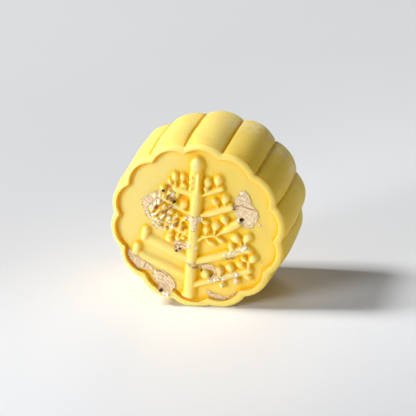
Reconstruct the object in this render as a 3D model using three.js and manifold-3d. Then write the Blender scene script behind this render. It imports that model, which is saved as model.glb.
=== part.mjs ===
// A moulded snow-skin mooncake standing on its edge: a drum of soft dough with fourteen flutes, a raised
// scalloped rim round a sunken face, a tree stamped in relief on that face, and flakes of gold leaf on it.
//
// Millimetres, +Z up. The drum's axis lies along Y and its stamped face looks along -Y. The origin is on the
// table, under the middle of the mooncake.

import * as THREE from "three";
import { mergeVertices } from "three/addons/utils/BufferGeometryUtils.js";
import Module from "manifold-3d";

const wasm = await Module();
wasm.setup();

// ---------------------------------------------------------------- sizes

const CREST_RADIUS = 31; // axis to the crest of a flute
const THICKNESS = 34.5; // rim to back, along the axis
const FLUTES = 14;
const FLUTE_ARC = 11.7; // radius of each flute's own round
const SEGMENTS_PER_FLUTE = 8;

// The soft barrel swells between its rim and its back, and is a little wider at the back than at the rim.
const BELLY = 0.85;
const BELLY_PLACE = 0.8; // below 1, the widest ring is nearer the rim than the back
const FLARE = 0.28;

const BACK_ROUND = 5; // radius of the edge round the back
const RIM_WIDTH = 2.3; // flute crest to the sunken face, measured on the radius
const RIM_OUTER_ROUND = 1.4;
const RIM_INNER_ROUND = 0.7;
const FACE_DEPTH = 1.6; // the sunken face below the rim's top
const CORNER_RUN = 0.9; // the small hollow where the rim's wall meets the face
const CORNER_RISE = 0.2;

const LEAN = -8.9; // degrees that the stamped tree leans from upright as the mooncake stands
const SQUASH = 1.65; // how far the belly's lowest flutes are pressed flat where they stand on the table

// Heights of the relief above the sunken face.
const TRUNK_RISE = 2.1;
const BRANCH_RISE = 1.6;
const BARE_BRANCH_RISE = 1.2;
const LEAF_RISE = 1.9;
const STEM_RISE = 1;
const STEM_WIDTH = 1;
const STEM_SIDES = 6;
const LEAF_GOLD = 0.35; // a flake of gold leaf, with the air under it

// The tree, in the face's own millimetres: u to the right, v up, with 0, 0 in the middle of the face.
const TRUNK = { u: -1.1, top: 21, bottom: -25.6, width: 3.6 };
const KNOB = { v: 23.2, length: 6.6, width: 4.8 }; // the rounded top of the trunk
const ROOT = { u: -1.8, v: -25.8, length: 5, width: 2.6 }; // the trunk's spread foot

// A branch runs from its foot on the trunk to its tip, and tapers to its foot. Each of its leaves is
// [u, v, length, width, degrees from +u to the way it points].
const RIGHT_BRANCHES = [
  {
    foot: [0.3, 11.8],
    tip: [7.6, 15.9],
    width: 2.1,
    leaves: [[6.3, 19, 4.8, 3.1, 85], [2.8, 18, 4, 2.4, 95], [2.3, 15, 2.6, 2.1, 100]],
  },
  {
    foot: [1, 5.3],
    tip: [12, 11.4],
    width: 2.5,
    leaves: [[9.1, 12.9, 4.5, 2.8, 85], [5.9, 11.2, 4, 2.1, 128], [2.7, 3.2, 3.6, 2, 0]],
  },
  {
    foot: [0.3, -4.9],
    tip: [2.9, -2.7],
    width: 1.5,
    leaves: [[3.5, -0.1, 4.2, 2.3, 88]],
    underleaves: [[5.2, -4.6, 4.2, 1.8, -30]],
  },
  {
    foot: [2.9, -2.7],
    tip: [6.2, -1.8],
    width: 1.3,
    leaves: [[6.3, 1.9, 4.5, 2.5, 100]],
    underleaves: [[8.6, -3.4, 4.4, 2, -24]],
  },
  { foot: [6.4, -2], tip: [14, 3.6], width: 2.3, leaves: [[9.3, 4.7, 5, 2.2, 125]] },
  {
    foot: [0.4, -13.2],
    tip: [17, -4.7],
    width: 2.9,
    leaves: [
      [13.8, -1.4, 4.3, 3, 138],
      [18, -1.1, 4.9, 2.7, 64],
      [12.8, -4.2, 3.9, 2.3, 118],
      [19, -4, 3.2, 2.6, 25],
    ],
  },
  {
    foot: [0.4, -21.8],
    tip: [20, -12.9],
    width: 2.6,
    leaves: [
      [4.3, -17, 3.9, 3.5, 150],
      [9.2, -14.7, 4.8, 2.5, 105],
      [13.4, -12.4, 4.4, 2.9, 140],
      [16.8, -10.6, 4, 2.5, 150],
      [20.9, -7.2, 4.7, 2.8, 62],
      [17.8, -7.9, 3.4, 2.2, 150],
    ],
    underleaves: [[19.2, -15.2, 4.5, 2.2, -24], [15.3, -16.9, 2.8, 2.2, -30], [10.5, -19.7, 2.8, 2.3, -100]],
  },
];
const LEFT_BRANCHES = [
  {
    foot: [-2, 11.2],
    tip: [-9.6, 14.6],
    width: 1.7,
    leaves: [
      [-9, 18, 4, 2.5, 95],
      [-6, 18.4, 3.4, 2.4, 90],
      [-10.6, 16.2, 2.6, 1.8, 115],
      [-5.7, 15.5, 2.6, 2, 170],
    ],
  },
  {
    foot: [-2, 4],
    tip: [-14.6, 9.9],
    width: 2,
    leaves: [
      [-5.6, 8.1, 4.4, 2.9, 60],
      [-8.2, 10.9, 4, 2.2, 60],
      [-10.7, 12.3, 3.8, 2.1, 65],
      [-13.2, 12.2, 3.6, 2.2, 100],
      [-15.6, 9.6, 3.2, 2.4, 150],
    ],
  },
  {
    foot: [-2, -4.4],
    tip: [-15.6, 1.8],
    width: 2,
    leaves: [
      [-5, 1.9, 3.2, 2.1, 20],
      [-9.2, 4.4, 3, 2.4, 80],
      [-11.6, 6, 3.2, 2.1, 45],
      [-14, 7, 3.4, 2, 45],
      [-15.9, 4.4, 3.6, 1.8, 45],
      [-11.9, 2, 3.8, 1.7, 40],
    ],
    underleaves: [
      [-16.4, 0.4, 3.2, 2, 120],
      [-13.6, -1.6, 3.4, 2, 30],
      [-9.2, -3.9, 2.6, 2.4, -60],
      [-9.6, -6.2, 2.9, 2.4, -100],
      [-6.3, -5.2, 2.6, 2.4, -90],
    ],
  },
];
const BARE_BRANCHES = [
  { foot: [-2, -12.3], tip: [-17.8, -6.5], width: 3.2, knob: [-18, -4.6, 6.2, 3.2, 80] },
  { foot: [-2, -19.4], tip: [-20.8, -12.8], width: 3.2, knob: [-20.8, -11.6, 5.9, 3, 82] },
];

// Flakes of gold leaf that lie on the face, each an uneven polygon round its middle:
// [u, v, half length, half width, degrees from +u].
const FLAKES = [
  [15.4, 12.2, 4.2, 2.6, 100],
  [16.8, 6.2, 4.6, 3.4, -40],
  [-16.4, 6.2, 5, 3, 60],
  [-18.8, -17.2, 5.4, 1.9, -36],
  [-10.4, -22.8, 5, 2.8, -48],
  [10.6, -24.6, 5, 1.2, 8],
];
const FLAKE_CORNERS = 9;

// ---------------------------------------------------------------- helpers

// A closed three.js geometry as a manifold-3d solid.
function solid(geometry) {
  const bare = new THREE.BufferGeometry().setAttribute("position", geometry.getAttribute("position"));
  bare.setIndex(geometry.index);
  const merged = mergeVertices(bare, 1e-4);
  return new wasm.Manifold(
    new wasm.Mesh({
      numProp: 3,
      vertProperties: merged.attributes.position.array,
      triVerts: new Uint32Array(merged.index.array),
    }),
  );
}

// A manifold-3d solid as a three.js geometry.
function geometryOf(made) {
  const mesh = made.getMesh();
  const points = new Float32Array(mesh.numVert * 3);
  for (let i = 0; i < mesh.numVert; i++) {
    points.set(mesh.vertProperties.subarray(i * mesh.numProp, i * mesh.numProp + 3), i * 3);
  }
  const geometry = new THREE.BufferGeometry();
  geometry.setAttribute("position", new THREE.BufferAttribute(points, 3));
  geometry.setIndex(new THREE.BufferAttribute(mesh.triVerts, 1));
  geometry.computeVertexNormals();
  return geometry;
}

// Profile points along a round of the given centre and radius.
function round(centre, radius, fromDegrees, toDegrees, steps) {
  return Array.from({ length: steps + 1 }, (_, i) => {
    const angle = THREE.MathUtils.degToRad(fromDegrees + ((toDegrees - fromDegrees) * i) / steps);
    return new THREE.Vector2(centre[0] + radius * Math.cos(angle), centre[1] + radius * Math.sin(angle));
  });
}

// ---------------------------------------------------------------- the fluted drum

const FRONT = -THICKNESS / 2; // the rim's top
const BACK = THICKNESS / 2;
const FACE = FRONT + FACE_DEPTH; // the sunken face
const WALL_RADIUS = CREST_RADIUS - RIM_WIDTH; // the rim's inner wall

const BARREL_RINGS = [0.2, 0.4, 0.62]; // shares of the way from rim to back

// The drum's half section before it swells, from the middle of the face to the middle of the back.
const profile = [
  new THREE.Vector2(0, FACE),
  new THREE.Vector2(WALL_RADIUS - CORNER_RUN, FACE),
  new THREE.Vector2(WALL_RADIUS - CORNER_RUN / 3, FACE - CORNER_RISE),
  ...round([WALL_RADIUS + RIM_INNER_ROUND, FRONT + RIM_INNER_ROUND], RIM_INNER_ROUND, 180, 270, 2),
  ...round([CREST_RADIUS - RIM_OUTER_ROUND, FRONT + RIM_OUTER_ROUND], RIM_OUTER_ROUND, 270, 360, 4),
  ...BARREL_RINGS.map((share) => new THREE.Vector2(CREST_RADIUS, FRONT + share * THICKNESS)),
  ...round([CREST_RADIUS - BACK_ROUND, BACK - BACK_ROUND], BACK_ROUND, 0, 90, 4),
  new THREE.Vector2(0, BACK),
];

// How far the outline lies inside the crest circle at an angle: each flute is an arc about a centre on its
// crest's radius, and neighbouring arcs meet in a crease.
function fluteDepth(angle) {
  const pitch = (2 * Math.PI) / FLUTES;
  const off = angle - Math.round(angle / pitch) * pitch;
  const reach = CREST_RADIUS - FLUTE_ARC;
  return CREST_RADIUS - (reach * Math.cos(off) + Math.sqrt(FLUTE_ARC ** 2 - (reach * Math.sin(off)) ** 2));
}

// How far the barrel stands out past the rim, at a share of the way from rim to back.
function swell(share) {
  return FLARE * share + BELLY * Math.sin(Math.PI * share ** BELLY_PLACE);
}

// A lathed drum, swollen, with the flutes pressed into everything but the middle points of face and back.
function drum() {
  const geometry = new THREE.LatheGeometry(profile, FLUTES * SEGMENTS_PER_FLUTE);
  const at = geometry.getAttribute("position");
  for (let i = 0; i < at.count; i++) {
    const radius = Math.hypot(at.getX(i), at.getZ(i));
    const pressed = radius > 1 ? 1 - fluteDepth(Math.atan2(at.getX(i), at.getZ(i))) / radius : 1;
    const share = THREE.MathUtils.clamp((at.getY(i) - FRONT) / THICKNESS, 0, 1);
    const scale = pressed * (1 + swell(share) / CREST_RADIUS);
    at.setX(i, at.getX(i) * scale);
    at.setZ(i, at.getZ(i) * scale);
  }
  return solid(geometry);
}

// ---------------------------------------------------------------- the relief

// Moves a shape drawn round the origin, long side along +X, onto the sunken face.
function onFace(geometry, u, v, degrees) {
  geometry.rotateY(-THREE.MathUtils.degToRad(degrees));
  geometry.translate(u, FACE, v);
  return solid(geometry);
}

// A leaf, bud or knob: half an egg standing out of the face, its blunt end the way it points.
function egg([u, v, length, width, degrees], rise) {
  const shape = new THREE.SphereGeometry(1, 10, 8);
  shape.rotateZ(-Math.PI / 2);
  const at = shape.getAttribute("position");
  for (let i = 0; i < at.count; i++) {
    const fullness = 1 + 0.16 * at.getX(i);
    at.setXYZ(i, (at.getX(i) * length) / 2, at.getY(i) * rise, (at.getZ(i) * fullness * width) / 2);
  }
  return onFace(shape, u, v, degrees);
}

// A round-ended bar half sunk in the face, narrowed at its foot.
function bar(foot, tip, width, rise, footShare = 1, sides = 10) {
  const run = new THREE.Vector2(tip[0] - foot[0], tip[1] - foot[1]);
  const length = run.length();
  const shape = new THREE.CapsuleGeometry(width / 2, length, Math.ceil(sides / 4), sides);
  shape.rotateZ(-Math.PI / 2);
  const at = shape.getAttribute("position");
  for (let i = 0; i < at.count; i++) {
    const along = THREE.MathUtils.clamp(at.getX(i) / length + 0.5, 0, 1);
    const share = THREE.MathUtils.lerp(footShare, 1, along);
    at.setXYZ(i, at.getX(i), (at.getY(i) * 2 * rise * Math.sqrt(share)) / width, at.getZ(i) * share);
  }
  const middle = [(foot[0] + tip[0]) / 2, (foot[1] + tip[1]) / 2];
  return onFace(shape, ...middle, THREE.MathUtils.radToDeg(run.angle()));
}

// The short stem from a leaf's pointed end to the nearest place on its branch.
function stem([u, v, length, , degrees], { foot, tip }) {
  const angle = THREE.MathUtils.degToRad(degrees);
  const end = new THREE.Vector3(u - (Math.cos(angle) * length) / 3, v - (Math.sin(angle) * length) / 3, 0);
  const line = new THREE.Line3(new THREE.Vector3(...foot, 0), new THREE.Vector3(...tip, 0));
  const joint = line.closestPointToPoint(end, true, new THREE.Vector3());
  return bar([joint.x, joint.y], [end.x, end.y], STEM_WIDTH, STEM_RISE, 1, STEM_SIDES);
}

// A flake: a thin uneven plate lying on the face.
function flake([u, v, halfLength, halfWidth, degrees], index) {
  const outline = new THREE.Shape(
    Array.from({ length: FLAKE_CORNERS }, (_, k) => {
      const angle = (2 * Math.PI * k) / FLAKE_CORNERS;
      const uneven = 0.86 + 0.14 * Math.sin(5 * angle + 2 * index) + 0.1 * Math.cos(3 * angle + index);
      return new THREE.Vector2(halfLength * uneven * Math.cos(angle), halfWidth * uneven * Math.sin(angle));
    }),
  );
  const plate = new THREE.ExtrudeGeometry(outline, { depth: 2 * LEAF_GOLD, bevelEnabled: false });
  plate.translate(0, 0, -LEAF_GOLD);
  plate.rotateX(Math.PI / 2);
  return onFace(plate, u, v, degrees);
}

// Every raised shape of the tree, as solids.
function tree() {
  const shapes = [
    bar([TRUNK.u, TRUNK.bottom], [TRUNK.u, TRUNK.top], TRUNK.width, TRUNK_RISE),
    egg([TRUNK.u, KNOB.v, KNOB.length, KNOB.width, 90], TRUNK_RISE),
    egg([ROOT.u, ROOT.v, ROOT.length, ROOT.width, 0], BRANCH_RISE),
  ];
  for (const branch of [...RIGHT_BRANCHES, ...LEFT_BRANCHES]) {
    shapes.push(bar(branch.foot, branch.tip, branch.width, BRANCH_RISE, 0.5));
    for (const leaf of [...branch.leaves, ...(branch.underleaves ?? [])]) {
      shapes.push(egg(leaf, LEAF_RISE), stem(leaf, branch));
    }
  }
  for (const { foot, tip, width, knob } of BARE_BRANCHES) {
    shapes.push(bar(foot, tip, width, BARE_BRANCH_RISE), egg(knob, LEAF_RISE));
  }
  return shapes;
}

// ---------------------------------------------------------------- the whole

const cake = [...tree(), ...FLAKES.map(flake)].reduce((whole, shape) => whole.add(shape), drum());

// Stand it on its edge: turn the tree's lean in, then press the lowest flutes flat on the table.
const turned = geometryOf(cake).rotateY(-THREE.MathUtils.degToRad(LEAN));
turned.computeBoundingBox();
const axisHeight = -turned.boundingBox.min.z - SQUASH;
const table = new THREE.BoxGeometry(4 * CREST_RADIUS, 4 * CREST_RADIUS, 2 * CREST_RADIUS);
table.translate(0, 0, -axisHeight - CREST_RADIUS);
const standing = geometryOf(solid(turned).subtract(solid(table)));
standing.computeBoundingBox();
const middle = standing.boundingBox.getCenter(new THREE.Vector3());

const mooncake = new THREE.Mesh(
  standing,
  new THREE.MeshStandardMaterial({ color: 0xf7d774, roughness: 0.6, metalness: 0 }),
);
mooncake.name = "mooncake";
mooncake.position.set(-middle.x, -middle.y, axisHeight);

const model = new THREE.Group();
model.add(mooncake);

export default model;
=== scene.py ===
# %% [markdown]
# # A moulded snow-skin mooncake with gold leaf
#
# The real thing is a ball of soft glutinous-rice dough, pressed in a mould and turned out. The mould gives
# it fourteen flutes, a raised scalloped rim and a tree in relief. Flakes of gold leaf lie on the stamped
# face, and the cake stands on its edge on a pale table.
#
# The solid model in the frame already has the right size and place. This script builds a finer skin over
# it, lays the leaf on top, and lights the scene.

# %% The frame
import math
import random

import bmesh
import bpy
import numpy as np
from mathutils import Matrix, Vector
from mathutils.geometry import delaunay_2d_cdt


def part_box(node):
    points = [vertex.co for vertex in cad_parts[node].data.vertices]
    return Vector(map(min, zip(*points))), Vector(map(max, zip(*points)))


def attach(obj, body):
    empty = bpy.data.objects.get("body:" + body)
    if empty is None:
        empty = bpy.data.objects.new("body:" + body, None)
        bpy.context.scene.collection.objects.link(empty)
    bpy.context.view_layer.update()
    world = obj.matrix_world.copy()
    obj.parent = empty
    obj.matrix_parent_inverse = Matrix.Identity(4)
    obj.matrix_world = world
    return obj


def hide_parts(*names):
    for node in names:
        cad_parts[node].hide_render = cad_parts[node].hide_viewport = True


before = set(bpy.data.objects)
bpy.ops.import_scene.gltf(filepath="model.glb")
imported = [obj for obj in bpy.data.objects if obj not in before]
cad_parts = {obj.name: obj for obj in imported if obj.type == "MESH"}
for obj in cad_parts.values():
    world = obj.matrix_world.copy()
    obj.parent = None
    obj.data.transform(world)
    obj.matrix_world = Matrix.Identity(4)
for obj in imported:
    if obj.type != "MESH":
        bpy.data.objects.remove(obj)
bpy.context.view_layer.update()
MM = 0.001  # metres in a millimetre
low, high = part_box("mooncake")
print("the solid mooncake is", [round(size / MM, 1) for size in high - low], "mm")


def in_scene(name, data):
    """A new object in the scene that shows the data."""
    made = bpy.data.objects.new(name, data)
    bpy.context.scene.collection.objects.link(made)
    return made


# %% [markdown]
# ## Sizes
#
# All sizes are in millimetres and follow from a few that drive the rest. The mould's own directions are
# `u`, to the right across the stamped face, and `v`, up along the tree. The cake stands with the tree
# leaning a little.

# %% Sizes of the cake
CREST_RADIUS = 31.0  # from the drum's axis to the crest of a flute, at the rim
THICKNESS = 34.5  # rim to back
FLUTES = 14
FLUTE_ARC = 11.7  # each flute's own radius
BELLY, BELLY_PLACE, FLARE = 0.85, 0.8, 0.28  # how the soft barrel swells behind its rim
FACE_DEPTH = 1.6  # the sunken face below the rim's top
TRUNK_PROUD = 0.5  # how far the tree's trunk stands in front of the rim
LEAN = math.radians(-8.9)
SQUASH = 0.7  # the lowest flute's rim is pressed flat by this much on the table

PITCH = 2 * math.pi / FLUTES
# The lowest flute lies straight below the tree, so it is off the vertical by the lean alone.
AXIS_HEIGHT = (CREST_RADIUS - FLUTE_ARC) * math.cos(LEAN) + FLUTE_ARC - SQUASH
RIM_Y = low.y / MM + TRUNK_PROUD  # the rim's top, which faces -Y
print(f"axis {AXIS_HEIGHT:.2f} mm above the table, rim plane at y = {RIM_Y:.2f} mm")


def turned(a, b, angle):
    """The point a, b turned about the origin."""
    return a * math.cos(angle) - b * math.sin(angle), a * math.sin(angle) + b * math.cos(angle)


def to_frame(u, v, deep):
    """The frame's point, in metres, for a mould's, in millimetres. deep runs from the rim's top back."""
    x, z = turned(u, v, LEAN)
    return np.stack([x, RIM_Y + deep, z + AXIS_HEIGHT], axis=-1) * MM


# %% [markdown]
# ## The camera
#
# The cake is seen a little from the right and from above, by a long lens from less than a metre away. The
# camera is turned slightly about its own line of sight, and the middle of the face sits left of and below
# the middle of the picture.

# %% The camera
AZIMUTH, ELEVATION, ROLL = math.radians(17.0), math.radians(23.9), math.radians(5.2)
DISTANCE = 853.0  # from the middle of the face
PICTURE = 416  # pixels across
FOCAL_PIXELS = 2484
FACE_LEFT, FACE_DOWN = 11.1, 20.2  # pixels from the picture's middle to the middle of the face
SENSOR = 36.0

face_middle = Vector(to_frame(np.array(0.0), np.array(0.0), np.array(0.0)))
back = Vector((
    math.sin(AZIMUTH) * math.cos(ELEVATION),
    -math.cos(AZIMUTH) * math.cos(ELEVATION),
    math.sin(ELEVATION),
))
right = Vector((math.cos(AZIMUTH), math.sin(AZIMUTH), 0))
level = Matrix((right, back.cross(right), back)).transposed().to_quaternion()
rolled = level @ Matrix.Rotation(-ROLL, 3, "Z").to_quaternion()
off_axis = Vector((-FACE_LEFT, -FACE_DOWN, -FOCAL_PIXELS))
aim = Vector((0, 0, -1)).rotation_difference(off_axis)

camera = in_scene("camera", bpy.data.cameras.new("camera"))
camera.data.lens = FOCAL_PIXELS / PICTURE * SENSOR
camera.data.sensor_width = SENSOR
camera.data.clip_start, camera.data.clip_end = 0.01, 50
camera.location = face_middle + back * DISTANCE * MM
camera.rotation_mode = "QUATERNION"
camera.rotation_quaternion = rolled @ aim.inverted()
bpy.context.scene.camera = camera
print(f"lens {camera.data.lens:.0f} mm")

# %% [markdown]
# ## A helper for node trees
#
# Both the shapes and the finishes below are made by nodes. A wire stands for what comes out of a node, and
# arithmetic with wires adds the nodes that work it out, so the trees below read as formulas.


# %% The node helper
def formula(operation, swapped=False):
    """Arithmetic between a wire and a number or another wire."""

    def work(wire, other):
        return wire.tree.math(operation, *((other, wire) if swapped else (wire, other)))

    return work


class Wire:
    """What comes out of a node's socket."""

    def __init__(self, tree, socket):
        self.tree, self.socket = tree, socket

    __add__, __sub__, __mul__ = formula("ADD"), formula("SUBTRACT"), formula("MULTIPLY")
    __truediv__, __pow__ = formula("DIVIDE"), formula("POWER")
    __rsub__, __rtruediv__ = formula("SUBTRACT", True), formula("DIVIDE", True)


class Tree:
    """Adds nodes to a node tree and links them."""

    def __init__(self, tree):
        self.tree = tree

    def node(self, kind, inputs=None, out=0, **settings):
        """Adds a node, and gives back the wire from its output out, or several wires for several names."""
        made = self.tree.nodes.new(kind)
        for name, value in settings.items():
            setattr(made, name, value)
        self.fill(made, inputs or {})
        if isinstance(out, tuple):
            return [Wire(self, made.outputs[name]) for name in out]
        return Wire(self, made.outputs[out]) if made.outputs else None

    def given(self):
        """The wires from the tree's own inputs, by name."""
        return {socket.name: Wire(self, socket) for socket in self.tree.nodes.new("NodeGroupInput").outputs}

    def feed(self, socket, value):
        if isinstance(value, Wire):
            self.tree.links.new(value.socket, socket)
        else:
            socket.default_value = value

    def fill(self, node, inputs):
        for name, value in inputs.items():
            self.feed(node.inputs[name], value)

    def math(self, operation, *values, clamp=False):
        made = self.tree.nodes.new("ShaderNodeMath")
        made.operation, made.use_clamp = operation, clamp
        for socket, value in zip(made.inputs, values):
            self.feed(socket, value)
        return Wire(self, made.outputs[0])

    def ramp(self, value, low, high, out_low=0.0, out_high=1.0):
        """value from low..high to out_low..out_high, with soft ends."""
        ends = {"Value": value, "From Min": low, "From Max": high, "To Min": out_low, "To Max": out_high}
        return self.node("ShaderNodeMapRange", ends, interpolation_type="SMOOTHSTEP")

    def mix(self, share, a, b):
        """A colour mix."""
        a, b = ((*colour, 1) if isinstance(colour, tuple) else colour for colour in (a, b))
        return self.node("ShaderNodeMix", {0: share, 6: a, 7: b}, 2, data_type="RGBA")

    def socket(self, name, kind, default=None, into=True):
        made = self.tree.interface.new_socket(name, in_out="INPUT" if into else "OUTPUT", socket_type=kind)
        if default is not None:
            made.default_value = default


# %% [markdown]
# ## Table and light
#
# The table is plain and pale. A tall soft lamp stands to the left, so each flute is bright on its left and
# falls into olive shade on its right, and the shadow runs off to the right. A small lamp close by at the
# front left lights the left of the stamped face. Wide, weak lamps fill in from the right, the front and the
# back, and the room adds a little white light.


# %% The table
TABLE_REACH = 3.0  # metres from the cake to the table's edge
TABLE_DARK, TABLE_LIGHT = (0.750, 0.762, 0.782), (0.767, 0.778, 0.797)


def new_material(name):
    material = bpy.data.materials.new(name)
    material.use_nodes = True
    return material, Tree(material.node_tree), material.node_tree.nodes["Principled BSDF"]


def table_top():
    far = TABLE_REACH
    mesh = bpy.data.meshes.new("table")
    mesh.from_pydata([(-far, -far, 0), (far, -far, 0), (far, far, 0), (-far, far, 0)], [], [(0, 1, 2, 3)])
    material, t, shader = new_material("pale_table")
    place = t.node("ShaderNodeTexCoord", out="Object")
    cloud = t.node("ShaderNodeTexNoise", {"Vector": place, "Scale": 9.0, "Detail": 3.0}, "Fac")
    t.fill(shader, {"Base Color": t.mix(t.ramp(cloud, 0.3, 0.7), TABLE_DARK, TABLE_LIGHT), "Roughness": 0.42})
    mesh.materials.append(material)
    in_scene("table", mesh)


table_top()


# %% The lamps
# name, degrees left, degrees up, distance, width and height in metres, power, spread in degrees and tint
LAMPS = (
    ("window", 89, 48, 3.0, 0.52, 0.90, 103.0, 180, (1, 1, 1)),
    ("front_left", 46, 16, 0.21, 0.14, 0.14, 0.056, 42, (0.96, 0.97, 1.0)),
    ("right_fill", -80, 6, 2.0, 0.80, 0.35, 6.6, 180, (1, 1, 1)),
    ("front_fill", -35, 25, 2.0, 0.80, 0.80, 1.8, 180, (1, 1, 1)),
    ("back_fill", 180, 40, 2.0, 0.80, 0.80, 4.6, 180, (1, 1, 1)),
)
ROOM_LIGHT = 0.02  # what the white room itself adds


def soft_lamp(name, degrees_left, degrees_up, distance, width, height, power, spread, tint):
    """A rectangular lamp that looks at the face. degrees_left is counted from straight in front of it."""
    lamp = bpy.data.lights.new(name, "AREA")
    lamp.shape, lamp.size, lamp.size_y = "RECTANGLE", width, height
    lamp.energy, lamp.spread, lamp.color = power, math.radians(spread), tint
    holder = in_scene(name, lamp)
    left, up = math.radians(degrees_left), math.radians(degrees_up)
    way = Vector((-math.sin(left) * math.cos(up), -math.cos(left) * math.cos(up), math.sin(up)))
    holder.location = face_middle + way * distance
    holder.rotation_euler = way.to_track_quat("Z", "Y").to_euler()


for lamp in LAMPS:
    soft_lamp(*lamp)
world = bpy.data.worlds.new("studio")
bpy.context.scene.world = world
world.use_nodes = True
room = world.node_tree.nodes["Background"].inputs
room["Color"].default_value, room["Strength"].default_value = (1, 1, 1, 1), ROOM_LIGHT
bpy.context.scene.view_settings.view_transform = "Standard"
print(len(LAMPS), "lamps")

# %% [markdown]
# ## The blank
#
# The skin starts as a plain round drum. Its front is a square grid bent to a disc, so that the relief gets
# evenly spaced points and no pole. From there rings of points run over the rim, along the barrel and round
# the back edge, and on the back each ring has half the points of the one before.

# %% Profile of the rim, barrel and back
FACE_CELLS = 224  # cells across the front grid, four sides of which make one ring
RING = 4 * FACE_CELLS
FACE_RADIUS = 27.9  # where the grid ends and the rings begin
BEAD_ROUND, BEAD_DROP = 1.45, 1.2  # outer round of the rim, across and deep
LIP, LIP_DEPTH, LIP_WIDTH = 0.4, 2.1, 0.6  # the rim overhangs a groove behind it: how far, where, how wide
WALL_START, WALL_RUN = 28.95, 0.45  # the rim's inner wall
WALL_PRESS = 1.5  # the wall's scallops are this much deeper than the flutes
PRESS_GAP, PRESS_FADE = 0.2, 1.3  # past the wall they ease to the flutes', after a gap and over a width
BACK_ROUND = 5.0  # the back's rounded edge
HOLLOW, HOLLOW_WIDTH = 0.10, 0.35  # the face dips slightly at the foot of the wall
CUSP_SOFT, CREASE_SOFT = 0.12, 0.1  # how blunt the flutes' meeting is on the rim and on the barrel
BACK_CROWD, BACK_CENTRE = 0.62, 0.05  # how the back's rings close in, and the last one's share of the radius
INNER_RINGS = (28.2, 28.5, 28.75)  # radii between the grid and the wall
WALL_RINGS, BEAD_RINGS, BACK_RINGS = 11, 9, 10
BARREL_RINGS = (1.6, 1.9, 2.3, 2.8, 3.6, 6, 8.8, 12, 15.5, 19, 22.5, 25.5, 27.8)  # depths behind the rim


def ease(x):
    """0 below 0, 1 above 1, and smooth between."""
    x = np.clip(x, 0, 1)
    return x * x * x * (x * (6 * x - 15) + 10)


def rim_height(radius):
    """Height of the rim above the sunken face, at an unfluted radius."""
    wall = FACE_DEPTH * ease((radius - WALL_START) / WALL_RUN)
    hollow = -HOLLOW * np.exp(-(((radius - WALL_START) / HOLLOW_WIDTH) ** 2))
    over = np.clip((radius - (CREST_RADIUS - BEAD_ROUND)) / BEAD_ROUND, 0, 1)
    return wall + hollow - BEAD_DROP * (1 - np.sqrt(1 - over * over))


def press_share(radius):
    """How fully a ring of the front is pressed into scallops."""
    past_wall = ease((radius - WALL_START - WALL_RUN - PRESS_GAP) / PRESS_FADE)
    outwards = WALL_PRESS + (1 - WALL_PRESS) * past_wall
    return np.where(radius < FACE_RADIUS, WALL_PRESS * np.abs(radius / FACE_RADIUS) ** 3, outwards)


def ring_profile():
    """(radius, depth behind the rim's top) of each ring, from the face to the back."""
    inner = np.concatenate([INNER_RINGS, np.linspace(28.9, WALL_START + WALL_RUN + 0.1, WALL_RINGS)])
    rings = [(r, FACE_DEPTH - rim_height(r)) for r in inner]
    for a in np.linspace(0, math.pi / 2, BEAD_RINGS):
        rings.append((CREST_RADIUS - BEAD_ROUND * (1 - math.sin(a)), BEAD_DROP * (1 - math.cos(a))))
    for depth in BARREL_RINGS:
        rings.append((CREST_RADIUS - LIP * math.exp(-(((depth - LIP_DEPTH) / LIP_WIDTH) ** 2)), depth))
    for a in np.linspace(0, math.pi / 2, BACK_RINGS):
        r = CREST_RADIUS - BACK_ROUND * (1 - math.cos(a))
        rings.append((r, THICKNESS - BACK_ROUND * (1 - math.sin(a))))
    return rings


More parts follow.
